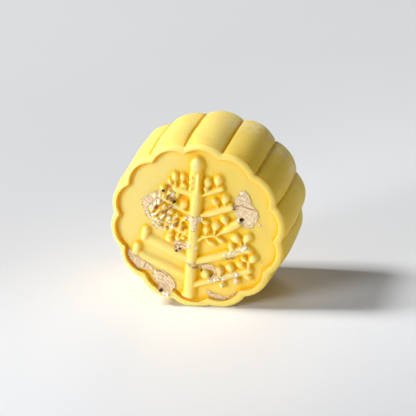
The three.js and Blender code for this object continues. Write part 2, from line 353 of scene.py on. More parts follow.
# %% Points and faces of the blank
def blank_drum():
    """Vertices (u, depth, v), faces, how fully each point is pressed, and how bluntly the flutes meet."""
    half = FACE_CELLS // 2
    a, b = np.meshgrid(np.arange(-half, half + 1), np.arange(-half, half + 1))
    a, b = a.ravel().astype(float), b.ravel().astype(float)
    wide = np.abs(a) >= np.abs(b)
    reach = np.where(wide, a, b)
    share = np.where(wide, b, a) / np.where(reach == 0, 1, reach)
    angle = np.where(wide, share * math.pi / 4, math.pi / 2 - share * math.pi / 4)
    radius = reach / half * FACE_RADIUS
    u, v = radius * np.cos(angle), radius * np.sin(angle)
    points = [np.stack([u, np.full_like(u, FACE_DEPTH), v], 1)]
    press = [press_share(radius)]
    row = FACE_CELLS + 1
    corner = (np.arange(FACE_CELLS)[:, None] * row + np.arange(FACE_CELLS)[None, :]).ravel()
    faces = [list(q) for q in np.stack([corner, corner + 1, corner + row + 1, corner + row], 1)]
    edge = np.flatnonzero(np.maximum(np.abs(a), np.abs(b)) == half)
    around = np.arctan2(v[edge], u[edge]) % (2 * math.pi)
    last = edge[np.argsort(around)]
    turn = np.arange(RING) * 2 * math.pi / RING
    count = len(u)

    def add_ring(radius, depth, turns, pressed):
        nonlocal count
        u, v = radius * np.cos(turns), radius * np.sin(turns)
        points.append(np.stack([u, np.full_like(turns, depth), v], 1))
        press.append(np.full(len(turns), pressed))
        count += len(turns)
        return np.arange(count - len(turns), count)

    for radius, depth in ring_profile():
        ring = add_ring(radius, depth, turn, float(press_share(radius)) if depth < BEAD_DROP + 0.5 else 1.0)
        n = len(ring)
        faces += [[last[i], ring[i], ring[(i + 1) % n], last[(i + 1) % n]] for i in range(n)]
        last = ring
    back_radius = CREST_RADIUS - BACK_ROUND
    n = RING
    while n > 7:
        n //= 2
        turns = np.arange(n) * 2 * math.pi / n
        share = (n / RING) ** BACK_CROWD if n > 7 else BACK_CENTRE
        ring = add_ring(back_radius * share, THICKNESS, turns, share**2)
        for i in range(n):
            a0, a1, a2 = last[2 * i], last[2 * i + 1], last[(2 * i + 2) % (2 * n)]
            b0, b1 = ring[i], ring[(i + 1) % n]
            faces += [[a0, b0, a1], [a1, b0, b1], [a1, b1, a2]]
        last = ring
    faces.append(list(last))
    points = np.concatenate(points)
    soft = CUSP_SOFT + (CREASE_SOFT - CUSP_SOFT) * ease((points[:, 1] - 0.3) / 1.8)
    soft[np.hypot(points[:, 0], points[:, 2]) < WALL_START + WALL_RUN] = CUSP_SOFT
    return points, faces, np.concatenate(press), soft


blank_points, blank_faces, blank_press, blank_soft = blank_drum()
print(len(blank_points), "points,", len(blank_faces), "faces")

# %% [markdown]
# ## Pressing the flutes
#
# A flute is an arc about a centre on its crest's radius, and neighbouring arcs meet in a narrow crease.
# That is a rule, so Geometry Nodes carry it out: every point moves in towards the axis by an amount that
# depends on its angle, and out again by the barrel's swelling. The tree's inputs are the sizes of the
# mould. Dough is soft, so every flute comes out a little fuller or flatter than the next.

# %% Running a Geometry Nodes tree on a mesh
def geometry_tree(name, sizes):
    """A new tree with a geometry output, a geometry input, its sizes and a material."""
    tree = Tree(bpy.data.node_groups.new(name, "GeometryNodeTree"))
    tree.socket("Geometry", "NodeSocketGeometry", into=False)
    tree.socket("Geometry", "NodeSocketGeometry")
    for size, default in sizes.items():
        kind = "NodeSocketInt" if isinstance(default, int) else "NodeSocketFloat"
        tree.socket(size, kind, default)
    tree.socket("Material", "NodeSocketMaterial")
    return tree


def finish_tree(tree, geometry, material):
    whole = tree.node("GeometryNodeRealizeInstances", {"Geometry": geometry})
    made = tree.node("GeometryNodeSetMaterial", {"Geometry": whole, "Material": material})
    tree.node("NodeGroupOutput", {"Geometry": made})


def stored(tree, name):
    """The wire from a number that is stored on each point."""
    return tree.node("GeometryNodeInputNamedAttribute", {"Name": name}, data_type="FLOAT")


def apply_nodes(name, mesh, tree, material):
    """Runs the tree on a mesh, and returns the result as a plain object at the origin."""
    source = in_scene(name + "_source", mesh)
    modifier = source.modifiers.new("nodes", "NODES")
    modifier.node_group = tree.tree
    for item in tree.tree.interface.items_tree:
        if item.in_out == "INPUT" and item.name == "Material":
            modifier[item.identifier] = material
    graph = bpy.context.evaluated_depsgraph_get()
    made = bpy.data.meshes.new_from_object(source.evaluated_get(graph), depsgraph=graph)
    made.name = name
    bpy.data.objects.remove(source)
    return in_scene(name, made)


# %% The flute press
CREASE_DEPTH, CREASE_WIDTH = 0.6, 0.9  # the narrow crease between two flutes
UNEVEN = 0.22  # how much fuller or flatter a flute may be
TINY = 1e-6  # keeps a division by the radius safe on the axis


def flute_press():
    lengths = {
        "Crest Radius": CREST_RADIUS, "Flute Arc": FLUTE_ARC, "Crease Depth": CREASE_DEPTH,
        "Crease Width": CREASE_WIDTH, "Thickness": THICKNESS, "Belly": BELLY, "Flare": FLARE,
        "Uneven": UNEVEN,
    }
    sizes = {name: length * MM for name, length in lengths.items()}
    t = geometry_tree("flute_press", {**sizes, "Belly Place": BELLY_PLACE, "Flutes": FLUTES, "Seed": 5})
    size = t.given()
    place = t.node("GeometryNodeInputPosition")
    x, deep, z = t.node("ShaderNodeSeparateXYZ", {"Vector": place}, ("X", "Y", "Z"))
    pressed, blunt = stored(t, "press"), stored(t, "soft")
    crest = size["Crest Radius"]

    pitch = 2 * math.pi / size["Flutes"]
    angle = t.math("ARCTAN2", x, z)
    flute = t.math("ROUND", angle / pitch)
    off = t.math("ABSOLUTE", angle - flute * pitch)
    half = pitch / 2.0
    to_cusp = t.math("SQRT", (half - off) ** 2.0 + (blunt / crest) ** 2.0)
    off = half - to_cusp
    reach = crest - size["Flute Arc"]
    across = reach * t.math("SINE", off)
    chord = size["Flute Arc"] ** 2.0 - across**2.0
    outline = reach * t.math("COSINE", off) + t.math("SQRT", chord)

    crease = t.math("SUBTRACT", 1.0, to_cusp * crest / size["Crease Width"], clamp=True) ** 2.0
    crease = crease * t.ramp(blunt, CREASE_SOFT * MM, CUSP_SOFT * MM, size["Crease Depth"], 0.0)
    depth = crest - outline + crease

    share = t.math("DIVIDE", deep, size["Thickness"], clamp=True)
    swell = t.math("SINE", share ** size["Belly Place"] * math.pi)
    same_flute = t.math("FLOORED_MODULO", flute + size["Seed"], size["Flutes"])
    chance = t.node("ShaderNodeTexWhiteNoise", {"W": same_flute}, "Value", noise_dimensions="1D")
    crown = t.math("COSINE", off * size["Flutes"])
    fuller = (chance - 0.5) * (size["Uneven"] * 2.0) * (share * (crown + 1.0))
    swell = swell * size["Belly"] + share * size["Flare"]
    wider = (swell + fuller) / crest + 1.0

    radius = t.math("MAXIMUM", t.math("SQRT", x**2.0 + z**2.0), TINY)
    scale = (1.0 - depth * pressed / radius) * wider
    moved = t.node("ShaderNodeCombineXYZ", {"X": x * scale, "Y": deep, "Z": z * scale})
    shape = t.node("GeometryNodeSetPosition", {"Geometry": size["Geometry"], "Position": moved})
    finish_tree(t, shape, size["Material"])
    return t


# %% [markdown]
# ## The tree in relief
#
# The stamped tree has a trunk with a rounded knob, branches that rise to both sides, and leaves like plump
# buds on short stems. Two bare branches on the lower left end in an upturned knob. Each shape is a dome
# over a line or over a point, and a soft maximum joins them, which gives the small fillets that soft dough
# keeps between raised shapes. A height field like this is simple to shape, because the mould pulls straight
# off the face.

# %% Shapes of the relief
TRUNK_RISE, BRANCH_RISE, BARE_RISE, LEAF_RISE, STEM_RISE = 2.3, 1.75, 1.15, 1.9, 1.2
PLUMP = 1.15  # the foot of a raised shape is this much wider than the part that stands out


def along_line(u, v, start, end):
    """How far along a line its place nearest to u, v lies, from 0 to 1, and how far away that is."""
    start, run = np.array(start, float), np.array(end, float) - np.array(start, float)
    du, dv = u - start[0], v - start[1]
    along = np.clip((du * run[0] + dv * run[1]) / (run @ run), 0, 1)
    return along, np.hypot(du - along * run[0], dv - along * run[1])


def soft_max(a, b, blend):
    """The larger of two heights, rounded over where they are nearly equal."""
    near = np.clip(1 - np.abs(a - b) / blend, 0, 1)
    return np.maximum(a, b) + near * near * blend / 4


class Relief:
    """Heights over the face at the points u, v, built up one raised shape after another."""

    def __init__(self, u, v):
        self.u, self.v = u, v
        self.height = np.zeros_like(u)

    def near(self, low_u, low_v, high_u, high_v):
        return np.flatnonzero((self.u > low_u) & (self.u < high_u) & (self.v > low_v) & (self.v < high_v))

    def raise_dome(self, where, reach, rise, fullness, blend):
        """reach is 0 on the shape's ridge and 1 at its edge. Past the edge the flank goes on down."""
        dome = rise * (1 - reach**fullness)
        self.height[where] = soft_max(self.height[where], dome, blend)

    def bar(self, foot, tip, widths, rise, fullness=3.1, blend=0.35, swell=0.25):
        """A branch, widths[0] wide at its foot. It reaches widths[1] after a share swell of its length."""
        margin = max(widths) / 2 + 1.5
        where = self.near(*(np.minimum(foot, tip) - margin), *(np.maximum(foot, tip) + margin))
        along, off = along_line(self.u[where], self.v[where], foot, tip)
        width = PLUMP * (widths[0] + (widths[1] - widths[0]) * ease(along / swell))
        rise = rise * (width / PLUMP / max(widths)) ** 0.3
        self.raise_dome(where, off / (width / 2), rise, fullness, blend)

    def leaf(self, u, v, length, width, degrees, rise=LEAF_RISE, fullness=3.2, blend=0.3, taper=0.12):
        """A plump leaf that points the way degrees says, narrower at its stem."""
        margin = length / 2 + 1.2
        where = self.near(u - margin, v - margin, u + margin, v + margin)
        along, across = turned(self.u[where] - u, self.v[where] - v, -math.radians(degrees))
        along, across = along / (length / 2), across / (PLUMP * width / 2)
        across = across / (1 + taper * np.clip(along, -1, 1))
        self.raise_dome(where, np.hypot(along, across), rise, fullness, blend)

    def groove(self, u, v, half_length, degrees, depth, width):
        """A short shallow line pressed into what is there."""
        margin = half_length + 3 * width
        where = self.near(u - margin, v - margin, u + margin, v + margin)
        along, across = turned(self.u[where] - u, self.v[where] - v, -math.radians(degrees))
        along = np.clip(np.abs(along) / half_length, 0, 1)
        self.height[where] -= depth * np.exp(-((across / width) ** 2)) * (1 - along**4)


# %% Layout of the tree
# A leaf or bud is (u, v, length, width, degrees).
TRUNK = {"u": -1.15, "foot": -26.0, "collar": 13.0, "width": 4.1}
SHAFT = {"u": -1.8, "top": 23.0, "width": 4.3, "rise": 1.85}
SPINE = {"u": -0.75, "top": 20.2, "width": 2.0}
COLLAR_BUDS = [
    (-3.2, 18.7, 2.5, 2.0, 90), (-3.3, 16.6, 2.3, 1.9, 90), (-3.1, 14.4, 2.5, 2.0, 90),
    (-3.0, 12.4, 2.4, 1.9, 90), (-2.2, 20.3, 2.4, 3.6, 90),
]
COLLAR_PITS = [(-2.1, 18.9), (-2.0, 17.3), (-2.0, 14.9)]
PIT, KNOB_RING = (0.5, 20, 0.2, 0.3), (1.7, -4, 0.2, 0.22)  # half length, degrees, depth and width
KNOB = (-1.8, 23.4, 7.2, 4.7, 92)
KNOB_RINGS = [(-0.9, 23.2), (-0.9, 21.5)]
ROOT = (-2.0, -26.6, 4.8, 3.2, 8)
# A branch has a foot, a tip, its two widths, how far along it reaches the second of them, and its leaves.
RIGHT_BRANCHES = [
    ((0.3, 12.0), (7.4, 16.2), (0.9, 2.3), 0.8, [
        (6.0, 18.9, 4.7, 3.1, 80), (2.6, 17.6, 4.2, 2.9, 82), (2.2, 15.0, 2.5, 2.2, 80),
    ]),
    ((1.3, 4.9), (11.2, 9.7), (1.9, 3.0), 0.3, [
        (9.0, 12.5, 4.5, 3.0, 80), (5.5, 11.0, 3.6, 2.6, 125), (2.9, 2.7, 3.2, 1.8, 5),
    ]),
    ((-0.2, -5.2), (3.0, -2.7), (2.0, 1.4), 0.7, [
        (3.3, 0.0, 3.8, 2.3, 82), (5.4, -4.8, 4.4, 2.1, -20),
    ]),
    ((3.0, -2.7), (6.4, -1.7), (1.4, 1.3), 0.5, [
        (6.5, 1.9, 4.5, 3.2, 76), (8.7, -3.2, 4.1, 2.0, -22),
    ]),
    ((7.0, -1.8), (13.8, 4.1), (1.0, 3.3), 0.75, [
        (9.4, 4.7, 4.8, 3.0, 124),
    ]),
    ((0.6, -13.0), (17.8, -5.0), (2.7, 3.3), 0.3, [
        (13.9, -1.5, 4.7, 3.5, 152), (17.8, -0.7, 5.0, 2.9, 63), (12.5, -4.9, 4.3, 2.5, 110),
        (18.6, -5.2, 3.4, 2.7, 25),
    ]),
    ((0.4, -22.0), (19.4, -12.9), (2.6, 2.6), 0.3, [
        (4.1, -17.2, 3.8, 3.7, 150), (8.9, -15.0, 4.2, 3.1, 115), (12.6, -13.1, 4.3, 3.2, 135),
        (16.2, -11.2, 4.0, 2.8, 152), (19.0, -15.4, 4.2, 2.3, -18), (15.3, -17.6, 2.8, 2.4, -60),
        (10.4, -20.0, 2.9, 2.4, -100),
    ]),
    ((19.2, -13.0), (19.0, -9.8), (1.6, 1.4), 0.5, [
        (20.4, -8.1, 4.7, 3.1, 63), (17.4, -8.8, 3.4, 2.2, 150),
    ]),
]
LEFT_BRANCHES = [
    ((-2.6, 12.4), (-8.4, 13.2), (3.0, 2.6), 0.5, [
        (-9.1, 17.7, 4.0, 2.6, 92), (-6.3, 18.0, 3.4, 2.3, 90), (-10.7, 15.6, 2.6, 1.9, 105),
        (-5.7, 15.2, 2.7, 2.0, 175),
    ]),
    ((-2.6, 4.6), (-13.4, 9.6), (1.6, 2.2), 0.5, [
        (-5.3, 7.7, 4.6, 2.9, 60), (-8.1, 10.6, 4.2, 2.0, 52), (-10.3, 12.0, 4.0, 2.0, 50),
        (-12.9, 12.2, 3.4, 2.4, 110), (-15.2, 9.2, 2.8, 2.2, 45), (-3.0, 5.3, 2.2, 2.0, 20),
        (-12.2, 9.6, 2.6, 2.2, 30), (-13.8, 7.4, 2.6, 2.0, 45),
    ]),
    ((-2.4, -3.6), (-15.6, 1.6), (1.5, 1.8), 0.5, [
        (-4.5, 2.5, 2.5, 1.8, 10), (-7.3, 3.4, 2.1, 1.9, 20), (-9.5, 4.2, 2.4, 2.1, 20),
        (-11.7, 5.6, 2.2, 2.0, 45), (-16.4, 4.3, 2.8, 2.1, 45), (-14.2, 3.6, 3.6, 1.6, 47),
        (-12.4, 2.0, 3.8, 1.6, 47), (-10.1, 1.4, 4.0, 1.6, 47), (-8.0, 0.2, 4.0, 1.6, 48),
        (-6.0, -1.1, 4.4, 2.0, 48), (-3.9, -2.2, 3.6, 1.7, 50), (-15.6, 0.6, 2.8, 2.0, 130),
        (-13.4, -0.6, 2.8, 2.0, 40), (-11.2, -2.5, 2.6, 2.1, 30), (-9.4, -4.3, 2.7, 1.9, 0),
        (-9.5, -6.2, 3.1, 2.3, 8), (-6.4, -5.4, 2.6, 2.3, 10), (-4.6, -4.6, 2.2, 1.9, 20),
    ]),
]
# A bare branch has a foot and a tip, and an upturned knob between two points.
BARE_BRANCHES = [
    ((-2.4, -12.6), (-17.2, -7.5), ((-18.1, -4.3), (-18.5, -7.4))),
    ((-2.4, -19.9), (-20.0, -14.2), ((-20.9, -11.0), (-21.3, -13.8))),
]
BARE_WIDTHS, KNOB_WIDTHS, STEM_WIDTHS = (3.8, 3.6), (2.9, 2.9), (1.2, 1.2)


def nearest_on(foot, tip, u, v):
    """The place on a branch that is nearest to u, v."""
    foot, tip = np.array(foot), np.array(tip)
    return foot + along_line(u, v, foot, tip)[0] * (tip - foot)


def tree_relief(u, v):
    """Height of the stamped tree above the sunken face."""
    relief = Relief(u, v)
    for foot, tip, knob in BARE_BRANCHES:
        relief.bar(foot, tip, BARE_WIDTHS, BARE_RISE, fullness=2.2, blend=0.6)
        relief.bar(*knob, KNOB_WIDTHS, LEAF_RISE, blend=0.5)
    for foot, tip, widths, swell, leaves in RIGHT_BRANCHES + LEFT_BRANCHES:
        relief.bar(foot, tip, widths, BRANCH_RISE, swell=swell)
        for leaf in leaves:
            leaf_u, leaf_v, length, _, degrees = leaf
            turn = math.radians(degrees)
            end = (leaf_u - math.cos(turn) * length / 3, leaf_v - math.sin(turn) * length / 3)
            relief.bar(nearest_on(foot, tip, *end), end, STEM_WIDTHS, STEM_RISE, blend=0.3)
            relief.leaf(*leaf)
    for part, bottom, top, rise, fullness in (
        (TRUNK, TRUNK["foot"], TRUNK["collar"], TRUNK_RISE, 3.0),
        (SHAFT, TRUNK["collar"] - 1, SHAFT["top"], SHAFT["rise"], 3.4),
        (SPINE, TRUNK["collar"] - 1, SPINE["top"], TRUNK_RISE, 2.6),
    ):
        relief.bar((part["u"], bottom), (part["u"], top), (part["width"],) * 2, rise, fullness=fullness)
    for bud in COLLAR_BUDS:
        relief.leaf(*bud, rise=TRUNK_RISE - 0.15, taper=0.0, blend=0.35)
    for pit in COLLAR_PITS:
        relief.groove(*pit, *PIT)
    relief.leaf(*KNOB, rise=TRUNK_RISE + 0.15, fullness=3.0, taper=0.0)
    for ring in KNOB_RINGS:
        relief.groove(*ring, *KNOB_RING)
    relief.leaf(*ROOT, rise=BRANCH_RISE, taper=0.0)
    return relief.height


# %% [markdown]
# ## One height for the whole front
#
# The skin and the gold leaf both need to know how high the front stands at any place: the sunken face, the
# rim round it and the tree. A grid of these heights, blurred, also tells which places are hollows. There a
# deeper orange is painted into the colour as shade, for the shade and the light that bounces between
# yellow walls.

# %% The front's height
FACE_LEFT_OFF, FACE_LOW_OFF, FOOT_LIFT = 0.4, 0.1, 0.7  # the sunken face lies a little off the drum's axis
FOOT_START, FOOT_RUN = 12, 14  # how far below the middle that begins, and over what height it grows
DOME = 0.3  # the face swells forward in its middle


def face_shift(v):
    """How far the face lies off the axis. Its lowest part is pressed up, where the cake stands."""
    return -FACE_LEFT_OFF, -FACE_LOW_OFF + FOOT_LIFT * ease((-v - FOOT_START) / FOOT_RUN)


def from_crease(angle):
    """The angle to the nearest crease."""
    return PITCH / 2 - np.abs(angle - np.round(angle / PITCH) * PITCH)


def flute_inset(angle, soft):
    """How far the rim's outline lies inside the crest circle at an angle from +v, as in the flute press."""
    off = PITCH / 2 - np.sqrt(from_crease(angle) ** 2 + (soft / CREST_RADIUS) ** 2)
    reach = CREST_RADIUS - FLUTE_ARC
    outline = reach * np.cos(off) + np.sqrt(FLUTE_ARC**2 - (reach * np.sin(off)) ** 2)
    return CREST_RADIUS - outline


def unpressed(u, v):
    """The radius that a point of the front had before the flutes were pressed in."""
    inset = flute_inset(np.arctan2(u, v), CUSP_SOFT)
    radius = np.hypot(u, v) + inset
    for _ in range(4):
        radius = np.hypot(u, v) + inset * press_share(radius)
    return radius


def waves(seed, u, v, length, count=14):
    """A smooth random surface between about -1 and 1, with bumps about length apart."""
    chance = random.Random(seed)
    total = np.zeros_like(u)
    for _ in range(count):
        turn, phase = chance.uniform(0, 2 * math.pi), chance.uniform(0, 2 * math.pi)
        pitch = length * chance.uniform(0.7, 1.5)
        total += np.sin((u * math.cos(turn) + v * math.sin(turn)) * 2 * math.pi / pitch + phase)
    return total / math.sqrt(count)


# %% A grid of heights
GRID_STEP, GRID_HALF = 0.1, 32.0
grid_line = np.arange(-GRID_HALF, GRID_HALF + GRID_STEP / 2, GRID_STEP)
grid_u, grid_v = (a.ravel() for a in np.meshgrid(grid_line, grid_line))
grid_shape = (len(grid_line), len(grid_line))
TREE_END, TREE_FADE = 0.3, 1.2  # the tree is pressed out past the foot of the wall, over this width
TREE_SOFT = 0.15  # soft dough rounds the tree by about this much


def blurred(grid, radius):
    """A box blur in both directions, twice, which is close to a soft round one."""
    cells = int(round(radius / GRID_STEP))
    for axis in (0, 1, 0, 1):
        pad = [(cells + 1, cells) if k == axis else (0, 0) for k in (0, 1)]
        total = np.cumsum(np.pad(grid, pad, mode="edge"), axis=axis)
        grid = np.take(total, range(2 * cells + 1, total.shape[axis]), axis)
        grid = (grid - np.take(total, range(total.shape[axis] - 2 * cells - 1), axis)) / (2 * cells + 1)
    return grid


def sample(grid, u, v):
    """The grid's value at any place on the front."""
    x = np.clip((u + GRID_HALF) / GRID_STEP, 0, len(grid_line) - 1.001)
    y = np.clip((v + GRID_HALF) / GRID_STEP, 0, len(grid_line) - 1.001)
    i, j = x.astype(int), y.astype(int)
    s, t = x - i, y - j
    upper = grid[j + 1, i] * (1 - s) + grid[j + 1, i + 1] * s
    return (grid[j, i] * (1 - s) + grid[j, i + 1] * s) * (1 - t) + upper * t


shift_u, shift_v = face_shift(grid_v)
inner_radius = unpressed(grid_u - shift_u, grid_v - shift_v)
tree_grid = tree_relief(grid_u, grid_v) * ease((WALL_START + TREE_END - inner_radius) / TREE_FADE)
tree_grid = blurred(tree_grid.reshape(grid_shape), TREE_SOFT)
rows_u, rows_v, rows_radius = (a.reshape(grid_shape) for a in (grid_u, grid_v, inner_radius))
dome_grid = DOME * np.clip(1 - (rows_radius / WALL_START) ** 2, 0, 1)
height_grid = tree_grid + dome_grid
height_grid += rim_height(np.clip(rows_radius, FACE_RADIUS, CREST_RADIUS - BEAD_ROUND))
print(f"the relief stands {height_grid.max():.2f} mm above the face")

# %% [markdown]
# Shade is painted into the dough's colour as a deeper yellow in hollows, on steep walls and at the foot of
# the rim's wall. Light is painted on as a paler yellow on raised places, on the rim's bead and on the left
# of the face.

# %% Grids of painted shade and painted light
HOLLOW_SHADES = ((0.5, 0.45, 0.45), (1.5, 0.7, 0.6))  # (blur, how far below it a place gets full painted shade, share)
WALL_FOOT_SHADE, WALL_FOOT_SHADE_WIDTH = 0.9, 0.3  # painted shade at the foot of the rim's wall
STEEP_START, STEEP_RUN, STEEP_SHADE = 0.6, 1.2, 0.6  # painted shade on a slope counts from here on
# Light painted on: places standing above their blurred surroundings, the rim's bead and the face's left.
TOP_LIGHT_BLUR, TOP_LIGHT_START, TOP_LIGHT_RUN = 1.8, 0.1, 0.8
BEAD_START, BEAD_FADE = 0.25, 0.3  # the bead's painted highlight begins past the foot of the wall
BEAD_HIGHLIGHT, BEAD_HIGHLIGHT_FADE, BEAD_RUN = 0.5, 0.38, 22  # how strong the highlight painted on the bead is, and how it fades to the right
LIT_LEFT, LIT_LEFT_START, LIT_LEFT_RUN = 0.62, 2, 11  # how much light is painted on the face's left, and where from
LIT_LEFT_LOW, LIT_LEFT_LOW_RUN = -27, 12  # it is less so at the bottom


def bead_highlight(u):
    """How much light is painted on the rim's bead, as a highlight. Most on the left, like the face's."""
    return BEAD_HIGHLIGHT - BEAD_HIGHLIGHT_FADE * ease(u / BEAD_RUN)


# Shade painted into the colour as a deeper orange: in hollows, at the wall's foot and on steep walls.
painted_shade_grid = sum(
    share * np.clip((blurred(height_grid, blur) - height_grid) / full, 0, 1) for blur, full, share in HOLLOW_SHADES
)
painted_shade_grid += WALL_FOOT_SHADE * np.exp(-(((rows_radius - WALL_START) / WALL_FOOT_SHADE_WIDTH) ** 2))
steep = np.hypot(*np.gradient(height_grid, grid_line[1] - grid_line[0]))
painted_shade_grid += STEEP_SHADE * np.clip((steep - STEEP_START) / STEEP_RUN, 0, 1)
# Painted light on raised tops, the painted highlight on the bead, and painted light on the face's left.
painted_light_grid = np.clip((height_grid - blurred(height_grid, TOP_LIGHT_BLUR) - TOP_LIGHT_START) / TOP_LIGHT_RUN, 0, 1)
on_bead = ease((rows_radius - WALL_START - BEAD_START) / BEAD_FADE)
painted_light_grid = np.maximum(painted_light_grid, bead_highlight(rows_u) * on_bead)
lit_left = LIT_LEFT * ease((-rows_u - LIT_LEFT_START) / LIT_LEFT_RUN) * ease((rows_v - LIT_LEFT_LOW) / LIT_LEFT_LOW_RUN)
painted_light_grid = np.maximum(painted_light_grid, lit_left)
print(f"hollow up to {painted_shade_grid.max():.2f}, raised up to {painted_light_grid.max():.2f}")

# %% [markdown]
# ## Finishes that share an effect
#
# Fine mottling is on both the dough and the leaf, so it is one node group with its own inputs. It puts out
# a mask only. The shader and its plain numbers stay in each material. Both materials also read numbers that
# their mesh carries, and have bumps.

# %% The mottle group
def mottle_group():
    t = Tree(bpy.data.node_groups.new("mottle", "ShaderNodeTree"))
    t.socket("Vector", "NodeSocketVector")
    t.socket("Size", "NodeSocketFloat", 1.0 * MM)
    t.socket("Contrast", "NodeSocketFloat", 0.5)
    t.socket("Mask", "NodeSocketFloat", into=False)
    given = t.given()
    noise = {"Vector": given["Vector"], "Scale": 1.0 / given["Size"], "Detail": 3.0}
    low_end = 0.5 - given["Contrast"] * 0.4
    mask = t.ramp(t.node("ShaderNodeTexNoise", noise, "Fac"), low_end, 1.0 - low_end)
    t.node("NodeGroupOutput", {"Mask": mask})
    return t.tree


MOTTLE = mottle_group()


def mottle(t, place, size, contrast):
    """The mottle's mask at a size in millimetres."""
    given = {"Vector": place, "Size": size * MM, "Contrast": contrast}
    return t.node("ShaderNodeGroup", given, "Mask", node_tree=MOTTLE)


def masks(t, *names):
    """The wires from numbers that the mesh carries for its material."""
    return [t.node("ShaderNodeAttribute", out="Fac", attribute_name=name) for name in names]


def bumps(t, height, strength, depth):
    """A bump of the surface, as deep as depth in millimetres."""
    return t.node("ShaderNodeBump", {"Height": height, "Strength": strength, "Distance": depth * MM})


# %% [markdown]
# ## Snow-skin dough
#
# The skin is cooked rice dough: satin, slightly see-through, with a very fine grain that is coarser on the
# barrel than on the stamped face. Light that enters it comes out again a millimetre away, so subsurface
# scattering softens the shading. Shade is painted in as a deeper yellow in hollows, light is painted on as
# a paler yellow on raised and lit places, and a thin bloom of rice flour lies on the upper right of the
# barrel.

# %% The dough
# The third colour is the orange of the grain's darker specks and of shade painted into hollows. The paler
# yellow below it is painted light.
DOUGH, DOUGH_WARM, DOUGH_GRAIN_AND_SHADE = (0.98, 0.73, 0.18), (0.98, 0.70, 0.15), (1.0, 0.60, 0.0)
DOUGH_LIT, FLOUR = (1.0, 0.82, 0.35), (0.97, 0.92, 0.80)
GLOW_REACH = (2.0 * MM, 1.2 * MM, 0.3 * MM)  # how far red, green and blue light travel in the dough


def dough_material():
    material, t, shader = new_material("snow_skin")
    place = t.node("ShaderNodeTexCoord", out="Object")
    hollow, raised, bloom, coarse = masks(t, "hollow", "raised", "bloom", "coarse")
    colour = t.mix(mottle(t, place, 9.0, 0.8), DOUGH, DOUGH_WARM)
    # Light painted on as a paler yellow: raised tops, the rim's bead, the face's left, the barrel's lit side.
    colour = t.mix(raised * 0.7, colour, DOUGH_LIT)
    grain = t.ramp(mottle(t, place, 0.7, 0.9), 0.35, 0.65) * coarse
    colour = t.mix(grain * 0.2, colour, DOUGH_GRAIN_AND_SHADE)
    # Shade painted in as a deeper orange: hollows, steep walls, the barrel's creases and its shaded side.
    colour = t.mix(t.math("MULTIPLY", hollow, 1.0, clamp=True), colour, DOUGH_GRAIN_AND_SHADE)
    patch = mottle(t, place, 2.6, 0.5) * mottle(t, place, 0.5, 0.35)
    powder = t.math("MULTIPLY", patch, bloom, clamp=True)
    t.fill(shader, {
        "Base Color": t.mix(powder, colour, FLOUR),
        "Roughness": t.ramp(powder, 0.0, 1.0, 0.5, 0.85),
        "Specular IOR Level": 0.15,
        "Sheen Weight": 0.12,
        "Sheen Roughness": 0.5,
        "Subsurface Weight": 0.7,
        "Subsurface Radius": GLOW_REACH,
        "Subsurface Scale": 1.0,
        "Normal": bumps(t, grain * 1.4 + mottle(t, place, 0.25, 1.0), 0.5, 0.09),
    })
    return material


# %% [markdown]
# ## The skin
#
# The pressed drum gets its relief point by point. What stands below the table is pressed flat onto it. Four
# numbers at each point go to the material: how much shade and how much light is painted on a place, where
# flour lies, and how coarse the grain is. On the barrel light is painted on the lit upper left, and shade
# in the creases, under the lip and on the shaded side.

# %% Reading and storing numbers on a mesh
def store(mesh, name, values):
    mesh.attributes.new(name, "FLOAT", "POINT").data.foreach_set("value", values.astype(np.float32))


def stored_on(mesh, name):
    values = np.empty(len(mesh.vertices), np.float32)
    mesh.attributes[name].data.foreach_get("value", values)
    return values


def places(mesh):
    """The mesh's x, y and z, each as a row."""
    at = np.empty(len(mesh.vertices) * 3, np.float32)
    mesh.vertices.foreach_get("co", at)
    return at.reshape(-1, 3).T


# %% Building the skin
FACE_WAVE, FACE_WAVE_LENGTH = 0.06, 16.0  # soft dough is never quite flat
BARREL_WAVE, BARREL_WAVE_LENGTH = 0.12, 12.0
BACK_MIDDLE, BACK_RUN = 6, 20  # what differs round the barrel fades out to the middle of the back
# Where light is painted on the barrel: its most lit side, its edges as cosines from there, and how much
# the middle of the back gets
LIT_WAY, LIT_FROM, LIT_SPREAD, LIT_MEAN = math.radians(-25), 0.45, 0.5, 0.4
FLOUR_WAY, FLOUR_FROM, FLOUR_SPREAD = math.radians(38), 0.75, 0.2  # likewise, where flour lies
FLOUR_START, FLOUR_RUN, FLOUR_SHARE = 14, 14, 0.75  # from this depth on, over this much
BEHIND_START, BEHIND_RUN = 0.3, 1.2  # depths where the front's colours give way to the barrel's
LIP_SHADE_DEPTH, CREASE_SHADE_START, CREASE_SHADE_RUN = 1.8, 1.0, 3  # depth of the shade painted under the lip, and where the shade painted in the creases begins
BACK_SHADE, BACK_SHADE_CUT, BACK_LIGHT = 0.7, 0.55, 0.2  # painted shade on the barrel, less on its lit side, and painted light on the lit side
FACE_GRAIN = 0.25  # how coarse the face's grain is, with the barrel's at 1


